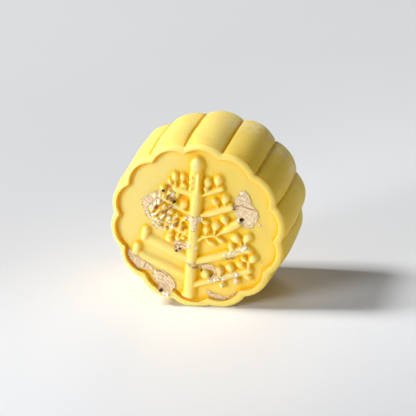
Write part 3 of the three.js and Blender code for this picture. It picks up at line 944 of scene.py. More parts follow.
def shape_skin(mesh):
    """Moves the pressed drum's points to their places. Gives back those places, and which are on the face."""
    u, deep, v = (places(mesh) / MM).astype(float)
    blank_radius = stored_on(mesh, "blank_radius")
    front = deep < FACE_DEPTH + HOLLOW + 0.01
    shifted = front * (1 - ease((blank_radius - WALL_START - WALL_RUN / 2) / 1.6))
    shift_u, shift_v = face_shift(v)
    u, v = u + shift_u * shifted, v + shift_v * shifted
    deep -= front * sample(tree_grid + dome_grid, u, v)
    deep += FACE_WAVE * waves(3, u, v, FACE_WAVE_LENGTH) * (blank_radius < WALL_START) * front
    radius, angle = np.hypot(u, v), np.arctan2(u, v)
    barrel = ease((deep - 0.5) / 4) * ease((radius - 20) / 6)
    uneven = BARREL_WAVE * waves(8, angle * CREST_RADIUS, deep, BARREL_WAVE_LENGTH) * barrel
    u, v = u * (1 + uneven / CREST_RADIUS), v * (1 + uneven / CREST_RADIUS)
    placed = to_frame(u, v, deep)
    placed[:, 2] = np.maximum(placed[:, 2], 0)
    mesh.vertices.foreach_set("co", placed.astype(np.float32).ravel())
    return u, v, deep, radius, angle, front & (blank_radius < WALL_START + WALL_RUN)


def mark_skin(mesh, u, v, deep, radius, angle, on_face):
    """Stores the four numbers for the material."""
    # Barrel: light painted on the lit upper left; shade in creases, under the lip and on the shaded side.
    off_crease = from_crease(angle) * CREST_RADIUS
    crease = np.exp(-((off_crease / CREASE_WIDTH) ** 2)) * ease((deep - CREASE_SHADE_START) / CREASE_SHADE_RUN)
    crease = crease * (deep < THICKNESS - 1)
    outward = ease((radius - BACK_MIDDLE) / BACK_RUN)
    most_lit = ease((np.cos(angle - LIT_WAY) - LIT_FROM) / LIT_SPREAD)
    lit_side = LIT_MEAN + (most_lit - LIT_MEAN) * outward
    behind = ease((deep - BEHIND_START) / BEHIND_RUN)
    lip_shade = np.exp(-(((deep - LIP_SHADE_DEPTH) / LIP_WIDTH) ** 2)) * (1 - lit_side)
    hollow = np.maximum(np.maximum(crease, BACK_SHADE - BACK_SHADE_CUT * lit_side) * behind, lip_shade)
    raised = bead_highlight(u) + (BACK_LIGHT * lit_side * (1 - crease) - bead_highlight(u)) * behind
    floured = ease((np.cos(angle - FLOUR_WAY) - FLOUR_FROM) / FLOUR_SPREAD) * outward**2
    store(mesh, "hollow", np.where(on_face, sample(painted_shade_grid, u, v), hollow))
    store(mesh, "raised", np.where(on_face, sample(painted_light_grid, u, v), raised))
    store(mesh, "bloom", floured * ease((deep - FLOUR_START) / FLOUR_RUN) * FLOUR_SHARE)
    store(mesh, "coarse", FACE_GRAIN + (1 - FACE_GRAIN) * behind * ~on_face)


def make_skin(material):
    mesh = bpy.data.meshes.new("blank")
    mesh.from_pydata((blank_points * MM).tolist(), [], blank_faces)
    store(mesh, "press", blank_press)
    store(mesh, "soft", blank_soft * MM)
    store(mesh, "blank_radius", np.hypot(blank_points[:, 0], blank_points[:, 2]))
    skin = apply_nodes("mooncake_skin", mesh, flute_press(), material)
    mark_skin(skin.data, *shape_skin(skin.data))
    shell = bmesh.new()
    shell.from_mesh(skin.data)
    bmesh.ops.recalc_face_normals(shell, faces=shell.faces)
    shell.to_mesh(skin.data)
    shell.free()
    skin.data.shade_smooth()
    return skin


skin = make_skin(dough_material())
skin.data.calc_loop_triangles()
print("skin:", len(skin.data.loop_triangles), "triangles")
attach(skin, "root")
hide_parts("mooncake")

# %% [markdown]
# ## Flakes of gold leaf
#
# Leaf comes as a sheet far thinner than a hair. It tears raggedly, crumples into sharp facets, clings to
# what it touches and bridges the narrow gaps. So each flake is cut out of a fine net of points by its torn
# outline, laid over the height of the front and creased, with shade painted on its cracks and folds. Where
# it is folded under, a dark pocket of shade is painted on, and a bit that stands up is tilted to the light
# and painted with a highlight. Left of the trunk it is torn into a heap of slanting strips.

# %% Outlines of the flakes
# Each flake has its torn outline. Some have cracks and fainter folds with painted shade, pockets of
# painted shade (u, v, radius) and bits that stand up with a painted highlight (u, v, size), all in mould
# millimetres.
FLAKES = [
    {"outline": [(13.2, 14.4), (14.0, 15.9), (15.2, 16.3), (16.8, 15.6), (18.4, 11.6), (20.2, 10.0),
      (21.0, 7.4), (20.2, 5.0), (19.2, 3.2), (17.2, 2.6), (15.6, 3.2), (15.0, 4.6), (13.6, 6.2), (12.2, 7.8),
      (12.0, 9.4), (12.2, 12.8)], "cracks": [[(12.2, 9.9), (14.4, 11.0), (17.0, 10.3), (20.0, 9.6)]],
     "folds": [[(13.2, 13.0), (15.4, 12.6), (18.0, 11.6)], [(13.0, 14.4), (15.4, 14.2), (17.6, 12.8)],
      [(14.6, 15.8), (16.0, 15.0), (17.4, 14.0)], [(19.8, 8.8), (20.6, 7.2)], [(17.6, 3.4), (19.4, 4.8)]],
     "shade_pockets": [(12.4, 9.4, 0.5), (15.3, 5.7, 0.85)],
     "glints": [(14.2, 5.6, 0.75), (14.3, 15.5, 0.6), (15.0, 16.1, 0.4)]},
    {"outline": [(21.0, 4.6), (21.6, 5.2), (22.2, 4.6), (21.6, 3.9)], "glints": [(21.5, 4.7, 0.4)]},
    {"outline": [(-13.9, 11.9), (-17.0, 9.9), (-20.7, 6.9), (-19.9, 4.2), (-18.8, 1.4), (-17.6, -0.2),
      (-15.9, -2.2), (-14.5, -3.3), (-12.8, -3.8), (-11.6, -3.3), (-12.6, -1.9), (-13.9, -1.3),
      (-15.6, -0.2), (-16.7, 1.4), (-17.8, 2.8), (-18.1, 4.2), (-16.7, 6.4), (-14.8, 8.4), (-13.4, 9.6)],
     "folds": [[(-17.6, 9.0), (-16.6, 7.4)], [(-19.6, 7.2), (-17.4, 5.6)], [(-19.2, 4.4), (-17.4, 3.4)],
      [(-18.6, 8.0), (-16.9, 6.6)], [(-18.0, 1.8), (-16.9, 1.2)], [(-15.6, 9.9), (-14.6, 8.8)]],
     "glints": [(-16.0, -1.2, 0.4), (-18.3, 2.2, 0.3)]},
    {"outline": [(-2.8, 4.6), (-4.5, 3.6), (-4.2, 2.4), (-2.7, 2.3), (-1.9, 0.4), (-1.7, -1.0),
      (-0.5, -1.1), (-0.2, 0.6), (0.1, 2.2), (2.0, 3.2), (2.0, 4.7), (-0.4, 4.4)],
     "folds": [[(-1.4, 4.2), (-0.8, 2.6)], [(1.0, 4.4), (1.4, 3.4)]], "shade_pockets": [(-2.9, 4.4, 0.3)],
     "glints": [(-4.2, 3.2, 0.5), (1.6, 4.0, 0.3)]},
    {"outline": [(-8.0, -6.4), (-7.9, -8.6), (-7.2, -10.4), (-5.6, -10.2), (-4.8, -9.0), (-3.0, -8.8),
      (-1.9, -7.8), (-2.2, -6.6), (-3.6, -7.2), (-5.2, -6.6), (-6.6, -6.9)],
     "cracks": [[(-7.4, -8.0), (-5.4, -7.8), (-3.4, -8.2)]],
     "shade_pockets": [(-6.7, -10.1, 0.6), (-5.7, -9.3, 0.5), (-7.1, -9.0, 0.3)],
     "glints": [(-2.4, -7.0, 0.5), (-6.2, -7.4, 0.4), (-3.0, -6.2, 0.4)]},
    {"outline": [(15.4, -5.0), (16.4, -3.6), (18.2, -3.2), (18.6, -4.2), (17.4, -5.0), (17.0, -6.0),
      (15.8, -5.8)], "folds": [[(16.2, -5.6), (17.8, -3.6)]], "shade_pockets": [(15.7, -4.4, 0.3)],
     "glints": [(16.6, -5.4, 0.4)]},
    {"outline": [(1.6, -14.0), (4.0, -13.4), (6.6, -13.8), (8.2, -15.2), (7.6, -16.8), (5.8, -15.7),
      (3.8, -15.1), (2.2, -15.6)],
     "folds": [[(3.0, -14.5), (5.4, -14.6), (7.4, -15.8)], [(2.4, -14.4), (4.4, -13.9)], [(5.4, -14.2),
      (7.4, -14.9)]], "shade_pockets": [(2.3, -15.7, 0.45), (6.4, -16.5, 0.35)]},
    {"outline": [(13.6, -15.2), (15.0, -13.9), (16.4, -14.4), (16.0, -15.8), (14.6, -16.2)],
     "folds": [[(14.0, -15.6), (15.8, -14.6)]], "shade_pockets": [(16.4, -16.2, 0.35)],
     "glints": [(15.3, -14.8, 0.6)]},
    {"outline": [(5.0, -18.6), (6.6, -17.2), (8.6, -16.8), (9.6, -17.8), (8.6, -19.2), (6.8, -19.8)],
     "folds": [[(5.8, -18.8), (8.6, -17.6)], [(6.2, -17.8), (7.2, -19.2)]], "shade_pockets": [(9.9, -18.6, 0.3)],
     "glints": [(7.6, -18.4, 0.5), (9.0, -18.0, 0.4), (5.6, -19.0, 0.4)]},
    {"outline": [(-23.8, -13.2), (-22.4, -13.5), (-19.6, -15.4), (-16.8, -17.0), (-15.0, -18.2),
      (-15.2, -19.8), (-16.4, -20.6), (-18.2, -20.0), (-20.6, -19.9), (-21.8, -18.6), (-23.4, -17.0),
      (-24.4, -15.2)], "cracks": [[(-17.4, -17.2), (-18.2, -19.2)]],
     "folds": [[(-23.4, -14.4), (-22.0, -17.2)], [(-22.2, -14.2), (-20.4, -18.2)], [(-20.6, -15.4),
      (-19.4, -18.8)], [(-16.6, -18.0), (-17.0, -20.2)]], "glints": [(-15.3, -19.4, 0.4)]},
    {"outline": [(-14.2, -19.2), (-12.6, -19.4), (-11.0, -18.6), (-9.0, -20.6), (-7.0, -22.4),
      (-6.2, -24.2), (-7.0, -25.6), (-8.0, -27.6), (-9.6, -28.4), (-11.8, -27.2), (-12.6, -26.2),
      (-12.4, -24.8), (-14.0, -23.6), (-14.9, -21.4)],
     "cracks": [[(-13.8, -19.6), (-11.4, -19.9), (-9.4, -21.2)]],
     "folds": [[(-13.2, -21.0), (-10.6, -21.6), (-7.8, -24.2)], [(-12.8, -22.4), (-10.2, -23.0),
      (-8.2, -25.8)], [(-13.0, -24.0), (-10.6, -24.4), (-9.6, -26.6)], [(-9.8, -21.0), (-7.4, -23.4),
      (-7.0, -25.0)], [(-11.8, -20.4), (-10.8, -22.2)]],
     "shade_pockets": [(-11.2, -26.5, 0.7), (-9.8, -19.6, 0.4), (-13.4, -24.9, 0.35)],
     "glints": [(-8.9, -27.2, 0.8), (-14.0, -20.0, 0.6), (-10.2, -27.2, 0.4), (-7.0, -24.8, 0.4)]},
    {"outline": [(4.4, -23.0), (4.9, -25.4), (7.0, -26.0), (9.3, -26.4), (11.8, -25.8), (14.2, -24.2),
      (15.8, -22.2), (14.8, -22.3), (13.6, -23.9), (11.2, -25.0), (8.2, -24.4), (5.8, -23.9)],
     "folds": [[(5.2, -24.8), (8.6, -25.3), (12.6, -25.3)], [(13.0, -24.8), (15.2, -22.8)], [(6.2, -24.4),
      (9.4, -24.9)]]},
]
# Shreds are small bits caught on the grains of the tree: (u, v, length, width, degrees, painted shade).
SHREDS = [
    (-10.9, 13.2, 2.8, 1.3, -38, 0.55), (-12.6, 12.2, 1.0, 1.2, 70, 1.0), (-9.7, 10.6, 3.4, 1.0, 52, 0.1),
    (-9.0, 9.7, 3.4, 0.8, 52, 0.75), (-10.9, 9.7, 2.2, 0.9, 60, 0.5), (-8.6, 8.4, 1.2, 0.9, 20, 1.0),
    (-8.6, 6.1, 2.8, 1.0, -22, 0.15), (-9.6, 7.2, 2.0, 0.7, -15, 0.6), (-15.8, 6.1, 2.9, 0.9, 82, 0.0),
    (-14.1, 7.8, 1.9, 1.0, 80, 0.0), (-17.0, 5.0, 1.7, 0.6, 50, 0.1), (-14.7, 5.2, 2.4, 0.7, 50, 0.55),
    (-12.2, 4.3, 2.9, 0.8, 47, 0.7), (-12.4, 2.4, 2.6, 0.6, 45, 0.0), (-13.1, 1.7, 2.4, 0.4, 45, 0.6),
    (-14.9, 2.8, 1.8, 0.8, 50, 0.1), (-11.0, 3.0, 2.6, 0.6, 47, 0.45), (-7.7, 0.3, 2.6, 1.2, 48, 0.5),
    (-8.9, -0.9, 2.0, 0.9, 40, 0.0), (-10.3, -1.2, 1.0, 0.7, 30, 0.9), (-14.8, 0.6, 2.2, 0.6, 55, 0.1),
    (-12.9, 0.2, 2.0, 0.8, 50, 0.35), (-5.2, -0.6, 2.2, 0.5, 48, 0.4), (-1.9, -13.9, 2.2, 0.9, -25, 0.35),
    (0.4, -14.9, 2.2, 0.9, -15, 0.45), (-3.6, -12.2, 1.2, 0.6, -50, 0.2), (0.3, -7.4, 1.2, 0.8, 60, 0.0),
    (2.4, -16.2, 1.2, 0.7, 80, 0.9), (6.2, -17.5, 1.6, 0.5, 60, 0.8), (9.9, -16.0, 1.5, 0.5, 100, 0.6),
    (15.2, -17.3, 2.2, 1.2, 20, 0.2), (15.0, -18.6, 1.6, 1.1, 30, 0.1), (10.2, -20.3, 1.2, 0.8, 40, 0.1),
    (12.9, -9.6, 1.6, 0.8, -20, 0.5), (17.0, -4.4, 2.4, 0.9, 42, 0.0), (12.2, -7.2, 1.2, 0.7, 60, 0.0),
    (10.4, -8.2, 1.1, 0.7, 20, 0.1), (11.4, -10.2, 1.8, 0.5, 30, 0.5),
]
# Over the grains left of the trunk the leaf is torn into rows of slanting strips, painted highlights over
# strips of painted shade.
HEAP = [(-16.6, 7.6), (-12.4, 11.0), (-9.0, 8.6), (-7.4, 4.6), (-8.2, -1.2), (-13.4, -2.0), (-17.2, 2.6)]
HEAP_U, HEAP_V, HEAP_SLANT = -12.2, 4.2, 47  # the middle of the rows, and which way a strip points
STRIP_APART, ROWS_APART = 2.7, 1.45
STRAY_ALONG, STRAY_ACROSS, STRAY_TURN = 0.3, 0.15, 9  # how far a strip is out of its place
# Lit strips lean towards the light and get a painted highlight; shaded strips are brown painted shade.
STRIP_LENGTH, STRIP_WIDTH, STRIP_SHADE = (1.2, 2.3), (0.35, 0.6), (0.0, 0.0, 0.0, 0.08)
SHADE_STRIP_LENGTH, SHADE_STRIP_WIDTH, SHADE_STRIP_AMOUNT = 0.8, 0.3, (0.25, 0.6)  # the length of a strip of painted shade is a share of the lit one's
LIT_STRIP_CHANCE, SHADE_STRIP_CHANCE = 0.55, 0.4  # how often a place in a row has a lit strip with painted highlight, and a strip of painted shade
SHADE_STRIP_OFF = (0.4, -0.38)  # a strip of painted shade lies this far below the lit one
# Where crumbs of leaf lie thick: how many lie on a square millimetre, and an outline.
CRUMB_PATCHES = [
    (2.0, [(9.6, -8.0), (12.4, -6.4), (15.0, -4.6), (16.6, -4.8), (15.6, -6.6), (13.2, -8.8), (11.0, -10.2),
     (9.6, -9.6)]),
    (2.2, [(5.0, -18.4), (8.0, -16.6), (11.0, -15.8), (13.6, -14.2), (15.4, -15.6), (12.4, -17.6),
     (9.0, -19.4), (6.0, -20.0)]),
    (3.5, [(14.0, -16.6), (16.0, -16.4), (15.8, -19.0), (14.2, -19.2)]),
    (2.5, [(9.4, -19.6), (11.2, -19.4), (10.8, -21.2), (9.4, -21.0)]),
    (1.5, [(7.6, -12.6), (10.4, -13.2), (11.0, -15.6), (8.0, -15.6)]),
    (3.0, [(-4.6, -6.6), (-2.0, -5.4), (-1.6, -8.0), (-3.4, -8.6)]),
    (2.5, [(-3.2, -12.2), (0.4, -13.4), (1.6, -15.2), (-0.8, -15.0), (-3.4, -13.6)]),
]


# %% Cutting a flake
SAME_POINT = 0.01  # points of a net that are closer than this are one
JITTER = 0.35  # how far a net's point lies from its place, as a share of the spacing


def torn(line, chance, step=0.35, tear=0.16):
    """The line with many more points, each a little out of line, as leaf tears."""
    edge = []
    for (u0, v0), (u1, v1) in zip(line, line[1:]):
        length = math.hypot(u1 - u0, v1 - v0)
        steps = max(1, round(length / step))
        for i in range(steps):
            share, out = i / steps, chance.gauss(0, tear)
            edge.append((u0 + share * (u1 - u0) + (v1 - v0) / length * out,
                         v0 + share * (v1 - v0) - (u1 - u0) / length * out))
    return edge


def inside(u, v, edge):
    """Which of the points lie inside a closed edge."""
    found = np.zeros(len(u), bool)
    for (u0, v0), (u1, v1) in zip(edge, edge[1:] + edge[:1]):
        if v0 != v1:
            found ^= ((v0 > v) != (v1 > v)) & (u < u0 + (v - v0) * (u1 - u0) / (v1 - v0))
    return found


def net(edge, chance, spacing):
    """Points in the plane with triangles between them, that fill the edge."""
    low_u, high_u = min(p[0] for p in edge), max(p[0] for p in edge)
    low_v, high_v = min(p[1] for p in edge), max(p[1] for p in edge)
    rows = np.meshgrid(np.arange(low_u, high_u, spacing), np.arange(low_v, high_v, spacing))
    u, v = (a.ravel() for a in rows)
    jitter = np.array([[chance.uniform(-JITTER, JITTER) for _ in range(2)] for _ in u]) * spacing
    u, v = u + jitter[:, 0], v + jitter[:, 1]
    kept = inside(u, v, edge)
    points = [Vector(p) for p in edge] + [Vector(p) for p in zip(u[kept], v[kept])]
    rim = [(i, (i + 1) % len(edge)) for i in range(len(edge))]
    corners, _, triangles, *_ = delaunay_2d_cdt(points, rim, [], 1, SAME_POINT)
    return np.array([(p.x, p.y) for p in corners]), [list(t) for t in triangles]


def crumple(u, v, seed, size, steep):
    """Sharp straight creases in all directions, each bent a little."""
    chance = random.Random(seed)
    total = np.zeros_like(u)
    for k in range(7):
        turn, pitch = chance.uniform(0, math.pi), size * chance.uniform(0.5, 1.6)
        along = (u * math.cos(turn) + v * math.sin(turn)) / pitch + 0.3 * waves(seed + k, u, v, 3 * size, 5)
        total += pitch * steep * np.abs(2 * ((along + chance.random()) % 1) - 1)
    return total / math.sqrt(7)


def distance_to_line(u, v, line):
    """How far each point is from a line of several points."""
    nearest = np.full_like(u, 1e3)
    for start, end in zip(line, line[1:]):
        nearest = np.minimum(nearest, along_line(u, v, start, end)[1])
    return nearest


# %% Laying the flakes
LEAF_SPACING, SHRED_SPACING, LEAF_LIFT, LEAF_THICK = 0.25, 0.22, 0.05, 0.05
LEAF_OUT = 0.8  # a bit of leaf stands out past the solid model by this much at most
LEAF_FRONT = low.y / MM - LEAF_OUT - RIM_Y
BRIDGE = 0.3  # leaf bridges gaps of about this width
LEAF_LINES = {"cracks": (0.24, 0.6), "folds": (0.2, 0.36)}  # how wide, and how much shade is painted on them
LINE_DROP = 0.16  # how far the darkest line would lie below the leaf
FLAKE_CREASES, SHRED_CREASES = (1.4, 0.10), (0.9, 0.12)  # how far apart the sharp creases are, and how steep
POCKET_SQUASH, POCKET_REACH, POCKET_EDGE = 1.2, 1.25, 0.15  # a pocket of painted shade is a soft-edged lozenge
RUBBED_EDGE = 0.7  # how far in from its edge a flake is rubbed
GLINT_TILT = (-0.32, 0.36)  # how a bit that glints is tilted, towards -u and +v
GLINT_STRAY, GLINT_LIFT, GLINT_RISE = 0.07, 0.2, 0.3
GLINT_CORNERS = ((0, 1.2), (1.4, 0.8), (3.1, 1.1), (4.5, 0.7))  # turn in radians and reach
SHRED_POINTS, SHRED_LIFT = 9, 0.12  # points round a shred's outline, and how high it lies
SHRED_LEAN = 0.9  # how far a shred with painted highlight leans, as a share of a glint's tilt
bridged_grid = np.maximum(height_grid, blurred(height_grid, BRIDGE))


def shred_outline(u, v, length, width, degrees, chance):
    """An uneven pointed oval."""
    outline = []
    for k in range(SHRED_POINTS):
        around, reach = k * 2 * math.pi / SHRED_POINTS, chance.uniform(0.75, 1.15)
        along, across = math.cos(around) * length / 2 * reach, math.sin(around) * width / 2 * reach
        du, dv = turned(along, across, math.radians(degrees))
        outline.append((u + du, v + dv))
    return outline + outline[:1]


class LeafNet:
    """Collects pieces of leaf as points of the mould, triangles, and numbers for the finish."""

    def __init__(self):
        self.points, self.triangles, self.count = [], [], 0
        self.shades = {"painted_shade": [], "rubbed": [], "painted_highlight": []}

    def add(self, u, v, height, triangles, painted_shade=0.0, rubbed=0.0, painted_highlight=0.0):
        self.points.append(np.stack([u, np.maximum(FACE_DEPTH - height, LEAF_FRONT), v], 1))
        self.triangles += [[self.count + i for i in face] for face in triangles]
        for name, value in (("painted_shade", painted_shade), ("rubbed", rubbed), ("painted_highlight", painted_highlight)):
            self.shades[name].append(np.broadcast_to(value, u.shape))
        self.count += len(u)

    def flake(self, flake, seed):
        chance = random.Random(seed)
        outline = flake["outline"] + flake["outline"][:1]
        edge = torn(outline, chance)
        at, faces = net(edge, chance, LEAF_SPACING)
        u, v = at.T
        height = sample(bridged_grid, u, v) + LEAF_LIFT + crumple(u, v, seed, *FLAKE_CREASES)
        # Shade painted on the cracks and folds, which also dip a little, and on pockets.
        shade = np.zeros_like(u)
        for kind, (width, deep) in LEAF_LINES.items():
            for line in flake.get(kind, []):
                away = distance_to_line(u, v, torn(line, chance, step=0.5, tear=0.14) + line[-1:])
                close = np.exp(-((away / width) ** 2))
                height, shade = height - LINE_DROP * deep * close, np.maximum(shade, deep * close)
        for pocket_u, pocket_v, radius in flake.get("shade_pockets", []):
            far = np.abs(u - pocket_u) + np.abs(v - pocket_v) * POCKET_SQUASH
            shade = np.maximum(shade, np.clip((radius * POCKET_REACH - far) / POCKET_EDGE, 0, 1))
        rubbed = np.clip(1 - distance_to_line(u, v, outline) / RUBBED_EDGE, 0, 1)
        self.add(u, v, height, faces, shade, rubbed)
        for glint in flake.get("glints", []):
            self.glint(*glint, chance)

    def glint(self, u, v, size, chance):
        """A small bit standing up from the flake, turned to catch the light, with a painted highlight."""
        turn = chance.uniform(0, math.pi)
        corner = np.array([(math.cos(turn + k) * size * s, math.sin(turn + k) * size * s)
                           for k, s in GLINT_CORNERS])
        lean = np.array([chance.gauss(side, GLINT_STRAY) for side in GLINT_TILT])
        ground = sample(bridged_grid, np.array([u]), np.array([v]))[0]
        height = ground + GLINT_LIFT + size * GLINT_RISE - corner @ lean
        self.add(corner[:, 0] + u, corner[:, 1] + v, height, [[0, 1, 2], [0, 2, 3]], painted_highlight=1.0)

    def shred(self, u, v, length, width, degrees, painted_shade, seed):
        """A small torn bit. One with a painted highlight leans like a glint; one with painted shade lies
        flat.
        """
        chance = random.Random(seed)
        edge = torn(shred_outline(u, v, length, width, degrees, chance), chance, step=0.3, tear=0.05)
        at, faces = net(edge, chance, SHRED_SPACING)
        across, along = at[:, 0] - u, at[:, 1] - v
        lean = SHRED_LEAN * (1 - painted_shade)
        height = sample(bridged_grid, *at.T) + SHRED_LIFT + crumple(*at.T, seed, *SHRED_CREASES)
        height = height - lean * (across * GLINT_TILT[0] + along * GLINT_TILT[1])
        self.add(at[:, 0], at[:, 1], height, faces, painted_shade, painted_highlight=max(0.0, 1 - 4 * painted_shade))

    def heap(self):
        """Rows of slanting strips over the grains with painted highlights, strips of painted shade below
        them.
        """
        chance, slant = random.Random(5), math.radians(HEAP_SLANT)
        for row in range(-8, 9):
            for place in range(-5, 6):
                along = (place + row % 2 / 2) * STRIP_APART + chance.gauss(0, STRAY_ALONG)
                across = row * ROWS_APART + chance.gauss(0, STRAY_ACROSS)
                du, dv = turned(along, across, slant)
                u, v = HEAP_U + du, HEAP_V + dv
                if not inside(np.array([u]), np.array([v]), HEAP)[0]:
                    continue
                seed = row * 11 + place
                length, turn = chance.uniform(*STRIP_LENGTH), HEAP_SLANT + chance.gauss(0, STRAY_TURN)
                if chance.random() < LIT_STRIP_CHANCE:
                    width, painted_shade = chance.uniform(*STRIP_WIDTH), chance.choice(STRIP_SHADE)
                    self.shred(u, v, length, width, turn, painted_shade, 400 + seed)
                if chance.random() < SHADE_STRIP_CHANCE:
                    u, v, painted_shade = u + SHADE_STRIP_OFF[0], v + SHADE_STRIP_OFF[1], chance.uniform(*SHADE_STRIP_AMOUNT)
                    self.shred(u, v, length * SHADE_STRIP_LENGTH, SHADE_STRIP_WIDTH, turn, painted_shade, 600 + seed)


leaf_net = LeafNet()
for number, flake in enumerate(FLAKES):
    leaf_net.flake(flake, 70 + number)
for number, shred in enumerate(SHREDS):
    leaf_net.shred(*shred, 170 + number)
so_far = len(leaf_net.points)
leaf_net.heap()
print(len(FLAKES), "flakes,", len(SHREDS), "shreds,", len(leaf_net.points) - so_far, "strips in the heap")

# %% [markdown]
# ## The finish of the leaf
#
# Leaf is a pale, slightly pink metal. Fine creases get brown shade painted in, and along its torn edge it
# has rubbed through to the dough. The bits that stand up get a painted highlight, nearly white.

# %% The leaf material
# The third colour, nearly white, is a highlight painted on bits that stand up.
LEAF, LEAF_PALE, LEAF_HIGHLIGHT = (1.0, 0.76, 0.43), (1.0, 0.89, 0.66), (1.0, 0.96, 0.86)
# Brown painted as shade in creases, cracks, folds and shaded strips, also used for specks at the torn edge.
# Near black painted as shade in pockets.
LEAF_SHADE_BROWN, LEAF_POCKET_SHADE = (0.52, 0.25, 0.06), (0.04, 0.018, 0.003)
CREASE_NETS = ((1.5, 0.07), (0.6, 0.10))  # how far apart the fine creases are, and how wide


def leaf_material():
    material, t, shader = new_material("gold_leaf")
    place = t.node("ShaderNodeTexCoord", out="Object")
    painted_shade, rubbed, painted_highlight = masks(t, "painted_shade", "rubbed", "painted_highlight")
    wander = t.node("ShaderNodeTexNoise", {"Vector": place, "Scale": 1 / (2.0 * MM), "Detail": 1.0}, "Color")
    bent = t.node("ShaderNodeVectorMath", {0: wander, 1: (1.6 * MM,) * 3, 2: place}, operation="MULTIPLY_ADD")
    creases = 0.0
    for size, width in CREASE_NETS:
        cell = {"Vector": bent, "Scale": 1 / (size * MM)}
        to_edge = t.node("ShaderNodeTexVoronoi", cell, "Distance", feature="DISTANCE_TO_EDGE")
        creases = t.math("MAXIMUM", creases, t.ramp(to_edge, 0.0, width, 1.0, 0.0))
    colour = t.mix(mottle(t, place, 1.1, 0.8), LEAF, LEAF_PALE)
    # Brown shade painted into the fine creases.
    colour = t.mix(creases * 0.5, colour, LEAF_SHADE_BROWN)
    specks = mottle(t, place, 0.45, 0.5) * t.ramp(rubbed, 0.3, 0.9)
    colour = t.mix(t.ramp(specks, 0.3, 0.6, 0.0, 0.9), colour, LEAF_SHADE_BROWN)
    through = t.ramp(mottle(t, place, 0.4, 0.9) + rubbed, 1.3, 1.6)
    colour = t.mix(through, colour, DOUGH)
    # Shade painted on cracks, folds, shaded strips, crumbs and pockets.
    colour = t.mix(t.ramp(painted_shade, 0.05, 0.55), colour, LEAF_SHADE_BROWN)
    colour = t.mix(t.ramp(painted_shade, 0.65, 0.95), colour, LEAF_POCKET_SHADE)
    bare = t.math("MAXIMUM", through, t.math("MAXIMUM", painted_shade, painted_highlight))
    # Less metal where dough shows through or shade is painted; the painted highlight goes on last.
    t.fill(shader, {
        "Base Color": t.mix(painted_highlight, colour, LEAF_HIGHLIGHT),
        "Metallic": t.ramp(bare, 0.0, 1.0, 0.30, 0.0),
        "Roughness": t.ramp(bare, 0.0, 1.0, 0.32, 0.6),
        "Normal": bumps(t, mottle(t, place, 0.5, 0.9) - creases * 1.2, 0.6, 0.08),
    })
    return material


# %% Making the leaf
def make_leaf(material):
    points = np.concatenate(leaf_net.points)
    mesh = bpy.data.meshes.new("gold_leaf")
    mesh.from_pydata(to_frame(points[:, 0], points[:, 2], points[:, 1]).tolist(), [], leaf_net.triangles)
    for name, values in leaf_net.shades.items():
        store(mesh, name, np.concatenate(values))
    mesh.materials.append(material)
    leaf = in_scene("gold_leaf", mesh)
    thick = leaf.modifiers.new("thickness", "SOLIDIFY")
    thick.thickness, thick.offset = LEAF_THICK * MM, 0
    return leaf


gold = leaf_material()
leaf = make_leaf(gold)
print("gold leaf:", len(leaf.data.polygons), "triangles")
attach(leaf, "root")
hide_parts("mooncake")

# %% [markdown]
# ## Crumbs of leaf and specks of flour
#
# Both are strewn at random, thickest in certain places, so one Geometry Nodes tree strews both. A number on
# each point of the skin says how thick they lie there.


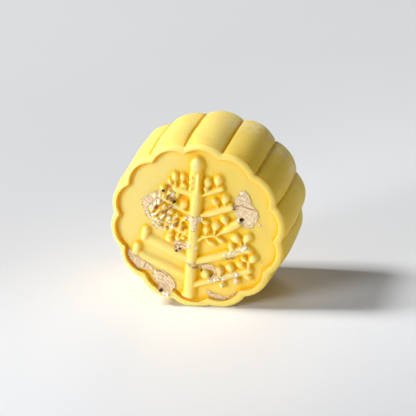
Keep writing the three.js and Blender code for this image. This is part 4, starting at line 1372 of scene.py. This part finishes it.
# %% Strewing bits
def strew_tree(name, density, size, flatness, seed):
    t = geometry_tree(
        name, {"Density": density, "Size": size * MM, "Flatness": flatness, "Seed": seed, "Bright": 1.3}
    )
    given = t.given()

    def chance(low, high, seed=0):
        kind, out = ("FLOAT_VECTOR", 0) if isinstance(low, tuple) else ("FLOAT", 1)
        return t.node("FunctionNodeRandomValue", {"Min": low, "Max": high, "Seed": seed}, out, data_type=kind)

    density = stored(t, "strewn") * given["Density"]
    spread = {"Mesh": given["Geometry"], "Density": density, "Seed": given["Seed"]}
    points, rotation = t.node("GeometryNodeDistributePointsOnFaces", spread, ("Points", "Rotation"))
    bit = t.node("GeometryNodeMeshIcoSphere", {"Radius": given["Size"], "Subdivisions": 1}, "Mesh")
    turned = t.node("FunctionNodeEulerToRotation", {"Euler": chance((-0.5, -0.5, 0), (0.5, 0.5, 6.3))})
    turns = {"Rotation": rotation, "Rotate By": turned}
    rotation = t.node("FunctionNodeRotateRotation", turns, rotation_space="LOCAL")
    flat = t.node("ShaderNodeCombineXYZ", {"X": 1.0, "Y": 1.0, "Z": given["Flatness"]})
    scale = {0: chance((0.4, 0.3, 0.3), (1.6, 1.2, 0.8), given["Seed"]), 1: flat}
    scale = t.node("ShaderNodeVectorMath", scale, operation="MULTIPLY")
    # Each crumb gets a random painted highlight and painted shade, which the leaf's finish reads.
    crumb_highlight = chance(-0.4, given["Bright"], given["Seed"])
    shade = chance(-1.2, given["Bright"], given["Seed"] + 5) * 0.5
    for mark, value in (("painted_highlight", crumb_highlight), ("painted_shade", shade)):
        marked = {"Geometry": points, "Name": mark, "Value": value}
        points = t.node("GeometryNodeStoreNamedAttribute", marked, data_type="FLOAT", domain="POINT")
    bits = {"Points": points, "Instance": bit, "Rotation": rotation, "Scale": scale}
    finish_tree(t, t.node("GeometryNodeInstanceOnPoints", bits), given["Material"])
    return t


def strew(name, share, slot, material, *sizes):
    ground = skin.data.copy()
    store(ground, "strewn", share)
    piece = apply_nodes(name, ground, strew_tree("strewn_" + name, *sizes), material)
    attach(piece, "root")
    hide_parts("mooncake")
    print(name, len(piece.data.polygons) // 20, "bits")


# %% The crumbs and the specks
# How many lie on a square metre where they are thickest, size in millimetres, flatness and seed
CRUMBS = (1e6, 0.34, 0.4, 11)
SPECKS = (0.9e6, 0.15, 0.6, 23)
PATCH_SOFT = 0.3  # how softly a patch of crumbs ends

crumb_grid = np.zeros(grid_shape)
for thick, outline in CRUMB_PATCHES:
    patch = inside(grid_u, grid_v, outline).reshape(grid_shape)
    crumb_grid = np.maximum(crumb_grid, thick * blurred(patch.astype(float), PATCH_SOFT))

x, y, z = places(skin.data).astype(float) / MM
deep = y - RIM_Y
u, v = turned(x, z - AXIS_HEIGHT, -LEAN)
on_front = deep < FACE_DEPTH + 0.2
strew("leaf_crumbs", sample(crumb_grid, u, v) * on_front, "gold_leaf", gold, *CRUMBS)


def flour_material():
    material, t, shader = new_material("rice_flour")
    t.fill(shader, {"Base Color": (*FLOUR, 1), "Roughness": 0.8})
    return material


strew("flour_specks", stored_on(skin.data, "bloom") ** 2, "snow_skin", flour_material(), *SPECKS)
